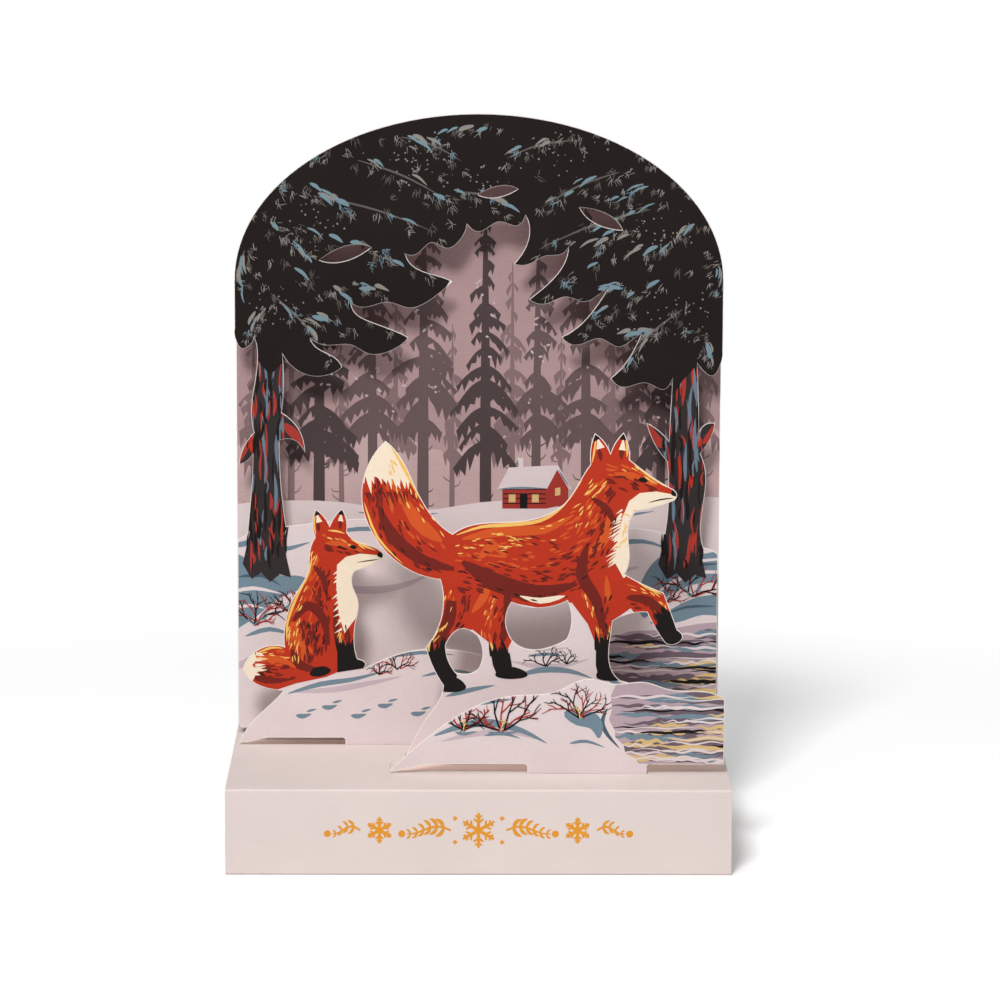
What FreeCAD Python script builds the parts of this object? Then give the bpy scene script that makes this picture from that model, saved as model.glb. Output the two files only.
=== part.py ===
import FreeCAD
import Part
import math
import os

# A pop-up greeting card that stands by itself, in millimetres.
# X runs to the right, Y to the rear and Z up; the origin is the middle of the footprint.

# Sizes of the whole card.
card = 0.4
width = 120.65
depth = 71.4
riser_height = 20.9
frame_top = 176.2

# The drawing on which every cut outline is laid out: its width, its top, and the plate's height on it.
drawing_width = 120.65
drawing_top = 176.2
drawing_plate = 20.9

# Folds and glue flaps.
fold_radius = 0.2
slit_clearance = 0.25
flap_margin = 5.0
edge_margin = 0.5
slot_margin = 0.5
rear_slot_margin = 2.6
frame_slot_margin = 1.7
slot_corner = 0.9
shoulder_radius = 1.1
tray_flap = 12.0
link_flap = 6.5

# The layers' places, as shares of the depth from the front of the base.
bank_share = 0.245
front_figure_share = 0.462
rear_figure_share = 0.69
frame_share = 0.877

# The two arches.
arch_spring = 135.0
panel_spring = 133.0
panel_drop = 5.6

front = -depth / 2
rear = depth / 2
half_width = width / 2
x_scale = width / drawing_width
z_scale = (frame_top - riser_height) / (drawing_top - drawing_plate)
panel_y = rear - card
bank_y = front + depth * bank_share
front_figure_y = front + depth * front_figure_share
rear_figure_y = front + depth * rear_figure_share
frame_y = front + depth * frame_share
plate_under = riser_height - card
edge = drawing_width / 2


def across(x):
    return x * x_scale


def above(z):
    return riser_height + (z - drawing_plate) * z_scale


def point(x, z, y=0.0):
    return FreeCAD.Vector(across(x), y, above(z))


def run_edge(points):
    if len(points) == 2:
        return Part.makeLine(points[0], points[1])
    curve = Part.BSplineCurve()
    curve.interpolate(points)
    return curve.toShape()


def drawn_edges(start, runs, y):
    # Each run starts where the last one ended: two points make a line, more make a smooth curve.
    edges = []
    last = start
    for run in runs:
        places = [last] + list(run)
        edges.append(run_edge([point(x, z, y) for x, z in places]))
        last = places[-1]
    return edges


def sheet_of(edges):
    return Part.Face(Part.Wire(edges)).extrude(FreeCAD.Vector(0, card, 0))


def cut_sheet(start, runs, y):
    return sheet_of(drawn_edges(start, runs, y))


def window(start, runs, y):
    face = Part.Face(Part.Wire(drawn_edges(start, runs, y - card)))
    return face.extrude(FreeCAD.Vector(0, 3 * card, 0))


def folded_strip(path, low, high):
    # A sheet of card along a folded path in Y and Z, its folds rounded, from X low to high.
    middle_radius = fold_radius + card / 2
    half = card / 2
    count = len(path)
    points = [FreeCAD.Vector(low, y, z) for y, z in path]
    ways = [(points[i + 1] - points[i]).normalize() for i in range(count - 1)]
    normals = [FreeCAD.Vector(0, -way.z, way.y) for way in ways]
    sides = {1: [], -1: []}
    for side in (1, -1):
        last = points[0] + normals[0] * half * side
        edges = []
        for i in range(1, count - 1):
            turn = ways[i - 1].y * ways[i].z - ways[i - 1].z * ways[i].y
            inner = 1 if turn > 0 else -1
            back = middle_radius * math.tan(ways[i - 1].getAngle(ways[i]) / 2)
            start = points[i] - ways[i - 1] * back
            end = points[i] + ways[i] * back
            centre = start + normals[i - 1] * middle_radius * inner
            reach = middle_radius - half * side * inner
            middle = centre + (points[i] - centre).normalize() * reach
            arc_start = start + normals[i - 1] * half * side
            arc_end = end + normals[i] * half * side
            edges.append(Part.makeLine(last, arc_start))
            edges.append(Part.Arc(arc_start, middle, arc_end).toShape())
            last = arc_end
        finish = points[-1] + normals[-1] * half * side
        edges.append(Part.makeLine(last, finish))
        sides[side] = edges
    first_cap = Part.makeLine(sides[1][0].Vertexes[0].Point, sides[-1][0].Vertexes[0].Point)
    last_cap = Part.makeLine(points[-1] + normals[-1] * half, points[-1] - normals[-1] * half)
    ordered = Part.__sortEdges__(sides[1] + sides[-1] + [first_cap, last_cap])
    face = Part.Face(Part.Wire(ordered))
    return face.extrude(FreeCAD.Vector(high - low, 0, 0))


def tab_top(tab, shoulder):
    # The runs along a layer's lower edge where it turns down into its tab with rounded shoulders.
    low, high = tab
    waist = shoulder - shoulder_radius
    near = 0.2 * shoulder_radius
    return [
        [(low - shoulder_radius, shoulder)],
        [(low - near, shoulder - near), (low, waist)],
        [(high, waist)],
        [(high + near, shoulder - near), (high + shoulder_radius, shoulder)],
    ]


def with_foot(sheet, y, tab, slot, flap_depth, shoulder):
    # A layer with its foot: a tab down through the plate, then back under it as a wide glue flap.
    low = across(tab[0])
    high = across(tab[1])
    middle = y + card / 2
    under = plate_under - card / 2
    throat = 3 * card
    path = [(middle, above(shoulder) + card), (middle, under), (y + throat, under)]
    stem = folded_strip(path, low, high)
    flap_low = max(across(slot[0] - flap_margin), -half_width + edge_margin)
    flap_high = min(across(slot[1] + flap_margin), half_width - edge_margin)
    level = plate_under - card
    wide = Part.makeBox(flap_high - flap_low, flap_depth - throat, card,
                        FreeCAD.Vector(flap_low, y + throat, level))
    left = Part.makeBox(low - flap_low, throat, card, FreeCAD.Vector(flap_low, y, level))
    right = Part.makeBox(flap_high - high, throat, card, FreeCAD.Vector(high, y, level))
    return sheet.fuse([wide, stem, left, right]).removeSplitter()


def plate_opening(y, setback, reach, slot, tab):
    # The cut-out behind a layer, stepped forward where the layer's tab goes through.
    slit = y - slit_clearance
    edge = y + setback
    back = y + reach
    z = plate_under - card
    tall = 3 * card
    low = across(slot[0])
    strip = Part.makeBox(across(slot[1]) - low, back - edge, tall, FreeCAD.Vector(low, edge, z))
    ends = [e for e in strip.Edges if len(e.Vertexes) == 2
            and abs(e.Vertexes[0].Z - e.Vertexes[1].Z) > card]
    strip = strip.makeFillet(slot_corner, ends)
    tab_low = across(tab[0]) - slit_clearance
    tab_high = across(tab[1]) + slit_clearance
    throat = Part.makeBox(tab_high - tab_low, back - slit - slot_corner, tall,
                          FreeCAD.Vector(tab_low, slit, z))
    return strip.fuse(throat)


def link_strip(front_face, rear_face, x, span, z):
    # A hidden strip that keeps two layers the same distance apart, a glue flap up at each end.
    level = above(z)
    first = front_face + card / 2
    last = rear_face - card / 2
    path = [(first, level + link_flap), (first, level), (last, level), (last, level + link_flap)]
    return folded_strip(path, across(x) - span / 2, across(x) + span / 2)


# The base: one folded sheet of plate, riser, floor and two rear flaps, its ends open.
def base_tray():
    fore = front + card / 2
    aft = panel_y - card / 2
    upper = riser_height - card / 2
    lower = card / 2
    path = [(aft, upper - tray_flap), (aft, upper), (fore, upper), (fore, lower), (aft, lower),
            (aft, lower + tray_flap / 2)]
    sheet = folded_strip(path, -half_width, half_width)
    openings = [
        plate_opening(bank_y, 3.4, 11.2, bank_slot, bank_tab),
        plate_opening(front_figure_y, card, 7.0, front_figure_slot, front_figure_tab),
        plate_opening(rear_figure_y, card, 7.4, rear_figure_slot, rear_figure_tab),
        plate_opening(frame_y, card, 5.6, frame_slot, frame_tab),
    ]
    for opening in openings:
        sheet = sheet.cut(opening)
    return sheet


# The rear wall: one flat sheet with an arched top, standing on the floor.
def back_panel():
    spring = above(panel_spring)
    low_left = FreeCAD.Vector(-half_width, panel_y, 0)
    low_right = FreeCAD.Vector(half_width, panel_y, 0)
    high_left = FreeCAD.Vector(-half_width, panel_y, spring)
    high_right = FreeCAD.Vector(half_width, panel_y, spring)
    return sheet_of([
        Part.makeLine(low_left, low_right),
        Part.makeLine(low_right, high_right),
        arch_edge(half_width, spring, frame_top - panel_drop - spring, panel_y),
        Part.makeLine(high_left, low_left),
    ])


def arch_edge(half, spring, rise, y):
    # Half an oval, from its right end over the top to its left end.
    centre = FreeCAD.Vector(0, y, spring)
    top = FreeCAD.Vector(0, y, spring + rise)
    if half > rise:
        oval = Part.Ellipse(FreeCAD.Vector(half, y, spring), top, centre)
        return Part.ArcOfEllipse(oval, 0, math.pi).toShape()
    oval = Part.Ellipse(top, FreeCAD.Vector(-half, y, spring), centre)
    return Part.ArcOfEllipse(oval, -math.pi / 2, math.pi / 2).toShape()


# The bank in the foreground.
bank_tab = (11.8, 40.6)
bank_slot = (-21.5, edge - slot_margin)
bank_flap = 14.4
bank_shoulder = 23.2


def front_bank():
    runs = [
        [(-12.0, bank_shoulder)],
        *tab_top(bank_tab, bank_shoulder),
        [(edge - 1.1, bank_shoulder)],
        [(edge - 1.1, 39.4)],
        [(edge - 6.3, 41.2), (46.0, 41.6), (40.0, 43.4), (32.5, 43.0), (26.0, 44.2), (19.0, 41.2),
         (10.0, 40.2), (2.0, 38.6), (-5.5, 34.8), (-12.5, 29.6), (-18.2, 24.6), (-21.4, 21.4)],
    ]
    sheet = cut_sheet((-21.4, 21.4), runs, bank_y)
    return with_foot(sheet, bank_y, bank_tab, bank_slot, bank_flap, bank_shoulder)


# The larger fox on its snow bank.
front_figure_tab = (0.0, 28.0)
front_figure_slot = (-17.9, 52.0)
front_figure_flap = 13.4
figure_shoulder = 22.2


def front_figure():
    runs = tab_top(front_figure_tab, figure_shoulder) + [
        [(50.0, figure_shoulder)],
        [(48.6, 28.5), (45.0, 34.2), (40.0, 38.4), (34.6, 40.6)],
        [(32.4, 43.4), (31.8, 48.6), (32.6, 55.4)],
        [(36.6, 57.2), (41.0, 57.6)],
        [(42.8, 54.0), (45.0, 50.6)],
        [(47.6, 49.6), (49.6, 51.0), (48.4, 53.2)],
        [(46.8, 57.6), (45.0, 62.4)],
        [(40.6, 64.2), (35.4, 67.0)],
        [(36.6, 72.0), (36.2, 77.6), (38.2, 82.6)],
        [(43.0, 83.6), (47.4, 85.2)],
        [(48.0, 86.6), (47.2, 87.8)],
        [(42.8, 90.4), (39.2, 93.0), (36.4, 95.2)],
        [(36.2, 98.6), (35.0, 101.8)],
        [(33.0, 99.4), (31.8, 96.6)],
        [(30.4, 99.4), (28.0, 101.6)],
        [(27.0, 98.0), (27.0, 94.0)],
        [(24.4, 89.8), (21.0, 84.6), (15.0, 81.0), (7.0, 79.8), (-1.0, 79.2), (-6.4, 76.8)],
        [(-10.6, 80.4), (-14.8, 87.0), (-18.0, 94.0), (-22.6, 99.6)],
        [(-27.0, 93.4), (-28.4, 85.0), (-25.0, 75.6), (-18.4, 68.8), (-9.4, 65.6)],
        [(-8.6, 60.0), (-9.8, 54.0), (-12.8, 48.8)],
        [(-11.2, 44.0), (-8.6, 39.4)],
        [(-9.4, 36.0), (-12.4, 31.6), (-15.4, 26.6), (-17.4, figure_shoulder)],
    ]
    sheet = cut_sheet((-17.4, figure_shoulder), runs, front_figure_y)
    belly = window((8.0, 60.0), [
        [(6.6, 55.6), (8.2, 50.6)],
        [(12.0, 48.4), (17.0, 48.8), (21.4, 50.8)],
        [(22.6, 55.4), (21.6, 60.4)],
        [(15.0, 58.6), (8.0, 60.0)],
    ], front_figure_y)
    hock = window((-5.6, 42.6), [
        [(-2.6, 42.2), (0.0, 43.4)],
        [(1.0, 47.4), (-0.2, 51.6)],
        [(-4.0, 53.4), (-8.0, 49.4)],
        [(-7.4, 45.8), (-5.6, 42.6)],
    ], front_figure_y)
    sheet = sheet.cut(belly).cut(hock)
    return with_foot(sheet, front_figure_y, front_figure_tab, front_figure_slot, front_figure_flap,
                     figure_shoulder)


# The smaller fox, sitting on the bank behind.
rear_figure_tab = (-32.8, 6.0)
rear_figure_slot = (rear_slot_margin - edge, 38.0)
rear_figure_flap = 12.4
rear_shoulder = 22.7


def rear_figure():
    runs = [
        [(8.3 - edge, rear_shoulder)],
        *tab_top(rear_figure_tab, rear_shoulder),
        [(36.6, rear_shoulder)],
        [(30.0, 28.8), (20.0, 35.4), (8.0, 41.2), (-3.0, 44.4), (-14.0, 45.0), (-22.0, 43.0),
         (-28.6, 39.8)],
        [(-27.8, 41.4), (-29.8, 42.6)],
        [(-30.6, 47.0), (-30.2, 52.0), (-29.6, 57.0), (-31.2, 61.6), (-30.4, 64.6)],
        [(-27.0, 65.8), (-24.0, 67.4)],
        [(-23.4, 68.6), (-24.2, 69.8)],
        [(-28.0, 71.4), (-30.8, 72.6), (-32.4, 74.4)],
        [(-32.4, 77.2), (-33.6, 80.2)],
        [(-35.4, 78.2), (-36.6, 75.8)],
        [(-37.8, 78.0), (-40.0, 80.0)],
        [(-40.8, 76.8), (-40.2, 73.0)],
        [(-41.6, 69.2), (-42.0, 64.6), (-45.2, 58.6), (12.7 - edge, 51.6), (12.5 - edge, 45.6)],
        [(9.5 - edge, 46.0), (5.3 - edge, 44.4), (2.3 - edge, 40.4)],
        [(4.1 - edge, 37.2), (7.9 - edge, 35.2), (12.3 - edge, 34.6)],
        [(9.3 - edge, 31.4), (5.7 - edge, 28.0), (2.9 - edge, 24.6), (1.2 - edge, 21.3)],
    ]
    sheet = cut_sheet((1.2 - edge, 21.3), runs, rear_figure_y)
    return with_foot(sheet, rear_figure_y, rear_figure_tab, rear_figure_slot, rear_figure_flap,
                     rear_shoulder)


# The forest frame: hill, two trunks and the arched roof of boughs, one sheet.
frame_tab = (-25.0, 25.0)
frame_slot = (frame_slot_margin - edge, edge - frame_slot_margin)
frame_flap = 7.6
trunk_width = 11.725
opening_half = 48.6
frame_shoulder = 22.4

# The lower edge of the roof, left to right: each bough runs out to its tip and back to the next notch.
roof_start = (-48.6, 117.0)
roof_edge = [
    [(-46.0, 113.4), (-41.5, 111.2), (-37.4, 111.4), (-33.8, 113.4)],
    [(-36.6, 116.4), (-40.2, 118.4), (-41.6, 120.6)],
    [(-37.0, 118.8), (-31.5, 118.9), (-27.4, 116.8), (-22.0, 117.4), (-17.4, 120.8)],
    [(-21.6, 122.8), (-26.4, 124.6), (-30.2, 126.6), (-31.6, 129.4)],
    [(-27.4, 128.4), (-22.6, 129.6), (-17.4, 128.2), (-11.4, 130.6), (-6.6, 134.8)],
    [(-11.0, 136.4), (-15.4, 138.0), (-18.2, 141.6)],
    [(-15.0, 141.8), (-11.6, 144.4), (-8.0, 143.0), (-4.6, 145.2), (-3.0, 149.0)],
    [(1.0, 147.4), (5.0, 149.6), (8.6, 148.6), (11.4, 151.2)],
    [(12.4, 147.4), (11.4, 143.2), (8.6, 139.2)],
    [(13.0, 139.4), (16.6, 141.2), (19.6, 141.4), (22.0, 143.4)],
    [(20.8, 139.0), (17.6, 134.8), (12.4, 130.4)],
    [(17.0, 129.4), (21.6, 131.0), (26.0, 129.8), (29.6, 131.6), (32.0, 133.4)],
    [(29.6, 129.6), (26.0, 125.0), (20.4, 121.0)],
    [(25.2, 119.2), (30.2, 120.6), (34.4, 118.6), (38.2, 120.6), (40.2, 122.0)],
    [(38.6, 118.4), (36.2, 114.4), (32.6, 110.8)],
    [(36.8, 108.6), (41.4, 109.6), (45.2, 108.0), (48.0, 111.0)],
]


def forest_frame():
    right_side = tab_top(frame_tab, frame_shoulder) + [
        [(edge - 0.7, frame_shoulder)],
        [(edge - 0.7, 66.6)],
        [(edge - 2.7, 67.8), (edge - 4.3, 68.2)],
        [(edge - 4.9, 76.0), (edge - 3.9, 84.0), (edge - 5.3, 92.0)],
        [(edge - 2.9, 95.6), (edge - 1.7, 99.6)],
        [(edge - 3.9, 99.4), (edge - 5.7, 97.4)],
        [(edge - 5.9, 106.0), (edge - 6.3, 114.6)],
        [(edge - 4.5, 112.4), (edge - 2.7, 111.4), (edge - 0.7, 113.8), (edge, 117.4)],
        [(edge, arch_spring)],
    ]
    left_side = [
        [(-edge, 123.0)],
        [(0.3 - edge, 120.0), (1.9 - edge, 118.0), (3.7 - edge, 118.8), (4.9 - edge, 121.0)],
        [(5.3 - edge, 112.0), (4.1 - edge, 104.0), (4.7 - edge, 97.0)],
        [(2.1 - edge, 93.4), (0.9 - edge, 89.0)],
        [(3.1 - edge, 90.0), (4.5 - edge, 91.8)],
        [(3.9 - edge, 82.0), (2.9 - edge, 71.4)],
        [(0.5 - edge, 70.0)],
        [(0.5 - edge, 24.2)],
        [(0.8 - edge, 22.8), (2.7 - edge, frame_shoulder)],
    ]
    spring = above(arch_spring)
    sheet = sheet_of(drawn_edges((2.7 - edge, frame_shoulder), right_side, frame_y)
                     + [arch_edge(half_width, spring, frame_top - spring, frame_y)]
                     + drawn_edges((-edge, arch_spring), left_side, frame_y))
    sheet = with_foot(sheet, frame_y, frame_tab, frame_slot, frame_flap, frame_shoulder)
    spread = (edge - trunk_width) / opening_half
    opening = roof_edge + [
        [(47.6, 104.0), (47.2, 95.0)],
        [(44.8, 97.6), (41.6, 99.6)],
        [(43.6, 94.4), (46.8, 90.0)],
        [(47.2, 81.0), (46.4, 71.8)],
        [(40.0, 73.0), (32.0, 72.6), (20.0, 69.2), (8.0, 67.4), (-3.0, 68.6), (-14.0, 72.4),
         (-26.0, 75.2), (-38.0, 74.6), (-47.8, 73.4)],
        [(-49.0, 84.0), (-49.4, 95.0)],
        [(-46.6, 95.4), (-43.0, 92.0)],
        [(-44.4, 97.6), (-48.8, 102.0)],
        [(-48.2, 110.0), roof_start],
    ]
    spread_opening = [[(x * spread, z) for x, z in run] for run in opening]
    sheet = sheet.cut(window(spread_opening[-1][-1], spread_opening, frame_y))
    # Each gap between boughs: its middle's X and Z, its half length, its half height and its tilt.
    bough_gaps = [
        (-33.0, 141.6, 6.6, 1.7, 14.0),
        (30.0, 150.4, 6.0, 1.6, -28.0),
        (4.6, 157.0, 5.0, 1.3, 8.0),
    ]
    for x, z, half_long, half_high, tilt in bough_gaps:
        sheet = sheet.cut(leaf(x, z, half_long, half_high, tilt))
    return sheet


def leaf(x, z, half_long, half_high, tilt):
    # A gap between boughs, pointed at both ends.
    turn = math.radians(tilt)

    def place(along, off):
        return (x + along * math.cos(turn) - off * math.sin(turn),
                z + along * math.sin(turn) + off * math.cos(turn))
    left = place(-half_long, 0)
    runs = [
        [place(-0.3 * half_long, -half_high), place(0.5 * half_long, -0.7 * half_high), place(half_long, 0)],
        [place(0.4 * half_long, half_high), place(-0.4 * half_long, 0.8 * half_high), left],
    ]
    return window(left, runs, frame_y)


# The hidden strips between the layers.
canopy_link_x = 42.0
canopy_link_span = 14.0
canopy_link_z = 149.0
layer_link_span = 10.0
rear_figure_link_place = (-16.0, 34.0)
front_figure_link_place = (4.0, 29.0)
front_bank_link_place = (26.0, 28.0)


def layer_link(front_layer_y, rear_layer_y, place):
    return link_strip(front_layer_y + card, rear_layer_y, place[0], layer_link_span, place[1])


def canopy_link(x):
    return link_strip(frame_y + card, panel_y, x, canopy_link_span, canopy_link_z)


def links():
    return {
        "canopy_link_left": canopy_link(-canopy_link_x),
        "canopy_link_right": canopy_link(canopy_link_x),
        "rear_figure_link": layer_link(rear_figure_y, frame_y, rear_figure_link_place),
        "front_figure_link": layer_link(front_figure_y, rear_figure_y, front_figure_link_place),
        "front_bank_link": layer_link(bank_y, front_figure_y, front_bank_link_place),
    }


nodes = {
    "base_tray": base_tray(),
    "back_panel": back_panel(),
    "front_bank": front_bank(),
    "front_figure": front_figure(),
    "rear_figure": rear_figure(),
    "forest_frame": forest_frame(),
}
nodes.update(links())

os.makedirs("parts", exist_ok=True)
for name, shape in nodes.items():
    shape.exportStep("parts/" + name + ".step")
    box = shape.BoundBox
    print(name, len(shape.Solids), shape.isValid(), round(box.XMin, 2), round(box.XMax, 2),
          round(box.YMin, 2), round(box.YMax, 2), round(box.ZMin, 2), round(box.ZMax, 2))
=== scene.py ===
"""A pop-up greeting card that stands by itself, dressed as printed and die-cut card."""

from __future__ import annotations

import logging
import math
import random
from dataclasses import dataclass, field
from enum import Enum
from typing import Iterable, Sequence

import bpy
from mathutils import Matrix, Vector
from mathutils.geometry import delaunay_2d_cdt


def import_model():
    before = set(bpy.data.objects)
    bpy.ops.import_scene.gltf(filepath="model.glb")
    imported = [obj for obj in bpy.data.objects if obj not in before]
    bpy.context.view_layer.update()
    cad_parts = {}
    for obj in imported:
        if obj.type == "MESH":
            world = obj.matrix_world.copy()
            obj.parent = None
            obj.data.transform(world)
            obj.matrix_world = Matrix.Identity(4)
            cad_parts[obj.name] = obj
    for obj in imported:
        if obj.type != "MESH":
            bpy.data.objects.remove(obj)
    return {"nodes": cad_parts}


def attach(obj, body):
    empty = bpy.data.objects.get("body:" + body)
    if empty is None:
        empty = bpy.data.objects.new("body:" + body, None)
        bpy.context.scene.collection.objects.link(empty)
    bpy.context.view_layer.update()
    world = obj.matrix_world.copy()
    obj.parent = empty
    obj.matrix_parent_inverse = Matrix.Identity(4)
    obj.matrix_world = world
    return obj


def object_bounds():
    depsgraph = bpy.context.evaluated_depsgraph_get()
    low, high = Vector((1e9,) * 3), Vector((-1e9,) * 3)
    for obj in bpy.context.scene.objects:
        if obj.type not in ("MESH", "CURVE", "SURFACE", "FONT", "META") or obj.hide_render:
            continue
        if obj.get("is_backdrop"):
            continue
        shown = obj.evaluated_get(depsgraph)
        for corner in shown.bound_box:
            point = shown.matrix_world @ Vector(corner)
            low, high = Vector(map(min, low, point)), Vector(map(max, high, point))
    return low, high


LOG = logging.getLogger("card")
MM = 0.001
TOLERANCE = 0.01
MERGE = 1e-4
WHITE = (1.0, 1.0, 1.0, 1.0)

Point = tuple[float, float]
Outline = list[Point]


class Ink(Enum):
    """The colours of the print and the card, each as sRGB from 0 to 255, with one warm brown that is
    painted shade.
    """

    CARD = (222, 208, 203)
    CORE = (242, 234, 228)
    # Painted shade: the warm brown laid on the glue flaps where they show through the plate's cut-outs, in
    # place of the shadow there.
    SLOT = (236, 209, 197)
    SNOW = (222, 207, 207)
    SNOW_SHADE = (196, 178, 184)
    SLATE = (113, 134, 147)
    SLATE_DEEP = (74, 92, 106)
    SKY = (174, 144, 145)
    SKY_PALE = (192, 164, 163)
    FIR_FAR = (132, 108, 109)
    FIR_MID = (103, 84, 85)
    FIR_NEAR = (76, 62, 63)
    NIGHT = (27, 18, 17)
    TAUPE = (92, 86, 82)
    ASH = (136, 132, 126)
    FROST = (112, 136, 146)
    BARK = (48, 42, 43)
    BARK_RED = (163, 54, 46)
    BARK_BLUE = (104, 120, 135)
    RED = (182, 50, 26)
    RED_DEEP = (112, 33, 25)
    ORANGE = (206, 84, 34)
    GOLD = (238, 190, 100)
    CREAM = (240, 222, 198)
    BLACK = (24, 19, 19)
    WATER_PLUM = (108, 92, 102)
    WATER_MAUVE = (180, 158, 166)
    WATER_GOLD = (213, 181, 124)
    TITLE_GOLD = (222, 150, 46)


def linear(shade: Sequence[float]) -> tuple[float, float, float, float]:
    """Turns an sRGB colour of 0 to 255 into Blender's linear one.

    Args:
        shade: red, green and blue.

    Returns:
        The linear colour with an alpha of one.
    """
    parts = []
    for value in shade:
        level = value / 255
        parts.append(level / 12.92 if level <= 0.04045 else ((level + 0.055) / 1.055) ** 2.4)
    return (parts[0], parts[1], parts[2], 1.0)


class Wire:
    """A value socket whose Python sums become Math nodes."""

    def __init__(self, graph: "Graph", socket: bpy.types.NodeSocket) -> None:
        """Keeps the socket and the graph it belongs to.

        Args:
            graph: the material's node tree.
            socket: an output socket with a value.
        """
        self.graph = graph
        self.socket = socket

    def _math(self, operation: str, first: "Wire | float", second: "Wire | float") -> "Wire":
        """Adds one Math node.

        Args:
            operation: the node's operation.
            first: its first value.
            second: its second value.

        Returns:
            The node's result.
        """
        return self.graph.wire("ShaderNodeMath", {"operation": operation}, {0: first, 1: second})

    def __add__(self, other: "Wire | float") -> "Wire":
        """Adds."""
        return self._math("ADD", self, other)

    def __radd__(self, other: float) -> "Wire":
        """Adds to a number."""
        return self._math("ADD", other, self)

    def __mul__(self, other: "Wire | float") -> "Wire":
        """Multiplies."""
        return self._math("MULTIPLY", self, other)

    def __rmul__(self, other: float) -> "Wire":
        """Multiplies a number."""
        return self._math("MULTIPLY", other, self)


class Graph:
    """The node tree of one material, or of the room."""

    def __init__(self, owner: bpy.types.Material | bpy.types.World) -> None:
        """Starts with an empty tree.

        Args:
            owner: the material or the world that the nodes belong to.
        """
        owner.use_nodes = True
        self.owner = owner
        self.tree = owner.node_tree
        self.tree.nodes.clear()

    def node(self, kind: str, settings: dict | None = None, inputs: dict | None = None) -> bpy.types.Node:
        """Adds a node.

        Args:
            kind: the node's type.
            settings: its properties, which are set first.
            inputs: values, wires or sockets by input name or number.

        Returns:
            The node.
        """
        made = self.tree.nodes.new(kind)
        for key, value in (settings or {}).items():
            setattr(made, key, value)
        for key, value in (inputs or {}).items():
            if isinstance(value, Wire):
                value = value.socket
            if isinstance(value, bpy.types.NodeSocket):
                self.tree.links.new(value, made.inputs[key])
            else:
                made.inputs[key].default_value = value
        return made

    def wire(self, kind: str, settings: dict | None = None, inputs: dict | None = None,
             output: int | str = 0) -> Wire:
        """Adds a node and returns one of its outputs as a wire.

        Args:
            kind: the node's type.
            settings: its properties.
            inputs: its inputs.
            output: which output is wanted.

        Returns:
            The output.
        """
        return Wire(self, self.node(kind, settings, inputs).outputs[output])

    def blend(self, factor: Wire, dark: Sequence[float], light: Sequence[float]) -> bpy.types.NodeSocket:
        """Mixes two colours.

        Args:
            factor: 0 gives dark and 1 gives light.
            dark: the first linear colour.
            light: the second linear colour.

        Returns:
            The mixed colour's socket.
        """
        settings = {"data_type": "RGBA"}
        return self.node("ShaderNodeMix", settings, {0: factor, 6: dark, 7: light}).outputs[2]


def toned(colour: Sequence[float], gain: float, lift: float = 0.0) -> tuple[float, float, float, float]:
    """Scales a linear colour's brightness, and with a lift lets a little of the white card through."""
    return (colour[0] * gain + lift, colour[1] * gain + lift, colour[2] * gain + lift, 1.0)


@dataclass(frozen=True)
class PaperFinish:
    """Uncoated card or ink on it: fine tooth, soft mottling and a dull surface; the stronger mottling of
    the sky inks is painted shade, the soft light and dark waves of a bowed wall.
    """

    name: str
    shade: tuple[int, int, int]
    # How far the colour wanders: paper mottling, and on the sky inks painted light and shade as well.
    mottle_and_painted_shade: float = 0.045
    tooth: float = 0.45
    dull: float = 0.86
    wear: float = 0.0
    shine: float = 0.12
    cloud_scale: float = 55.0
    grain_scale: float = 1900.0
    fibre_scale: tuple[float, float, float] = (300.0, 300.0, 2600.0)
    tooth_depth: float = 0.00004

    def build(self) -> bpy.types.Material:
        """Makes the material.

        Returns:
            The material, which is made once and then reused.
        """
        found = bpy.data.materials.get(self.name)
        if found:
            return found
        graph = Graph(bpy.data.materials.new(self.name))
        colour = linear(self.shade)
        place = graph.node("ShaderNodeTexCoord").outputs["Object"]
        cloud = self.noise(graph, place, self.cloud_scale, 3.0)
        grain = self.noise(graph, place, self.grain_scale, 2.0)
        stretched = graph.node("ShaderNodeMapping", {}, {"Vector": place, "Scale": self.fibre_scale})
        fibre = self.noise(graph, stretched.outputs[0], 1.0, 3.0)
        dark = toned(colour, 1 - 2 * self.mottle_and_painted_shade)
        light = toned(colour, 1 + 2 * self.mottle_and_painted_shade, self.wear)
        tint = graph.blend(cloud * 0.45 + grain * 0.35 + fibre * 0.2, dark, light)
        bump = graph.node("ShaderNodeBump", {}, {"Strength": self.tooth, "Distance": self.tooth_depth,
                                                 "Height": grain * 0.6 + fibre * 0.4})
        surface = graph.node("ShaderNodeBsdfPrincipled", {}, {
            "Base Color": tint,
            "Roughness": grain * 0.16 + (self.dull - 0.08),
            "Specular IOR Level": self.shine,
            "Normal": bump.outputs[0],
        })
        graph.node("ShaderNodeOutputMaterial", {}, {"Surface": surface.outputs[0]})
        return graph.owner

    @staticmethod
    def noise(graph: Graph, place: bpy.types.NodeSocket, scale: float, detail: float) -> Wire:
        """A noise over the surface.

        Args:
            graph: the material's node tree.
            place: the coordinates it runs over.
            scale: how fine it is.
            detail: how many finer layers it has.

        Returns:
            The noise, from 0 to 1.
        """
        return graph.wire("ShaderNodeTexNoise", {}, {"Vector": place, "Scale": scale, "Detail": detail},
                          "Fac")


def ink_finish(ink: Ink) -> PaperFinish:
    """The finish of one ink; the sky inks mottle more strongly, which paints the soft light and dark waves
    of a slightly bowed wall.
    """
    mottle_and_painted_shade = 0.17 if ink in (Ink.SKY, Ink.SKY_PALE) else 0.09
    return PaperFinish("ink_" + ink.name.lower(), ink.value, mottle_and_painted_shade=mottle_and_painted_shade, wear=0.008)


# Drawing in millimetres.


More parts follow.
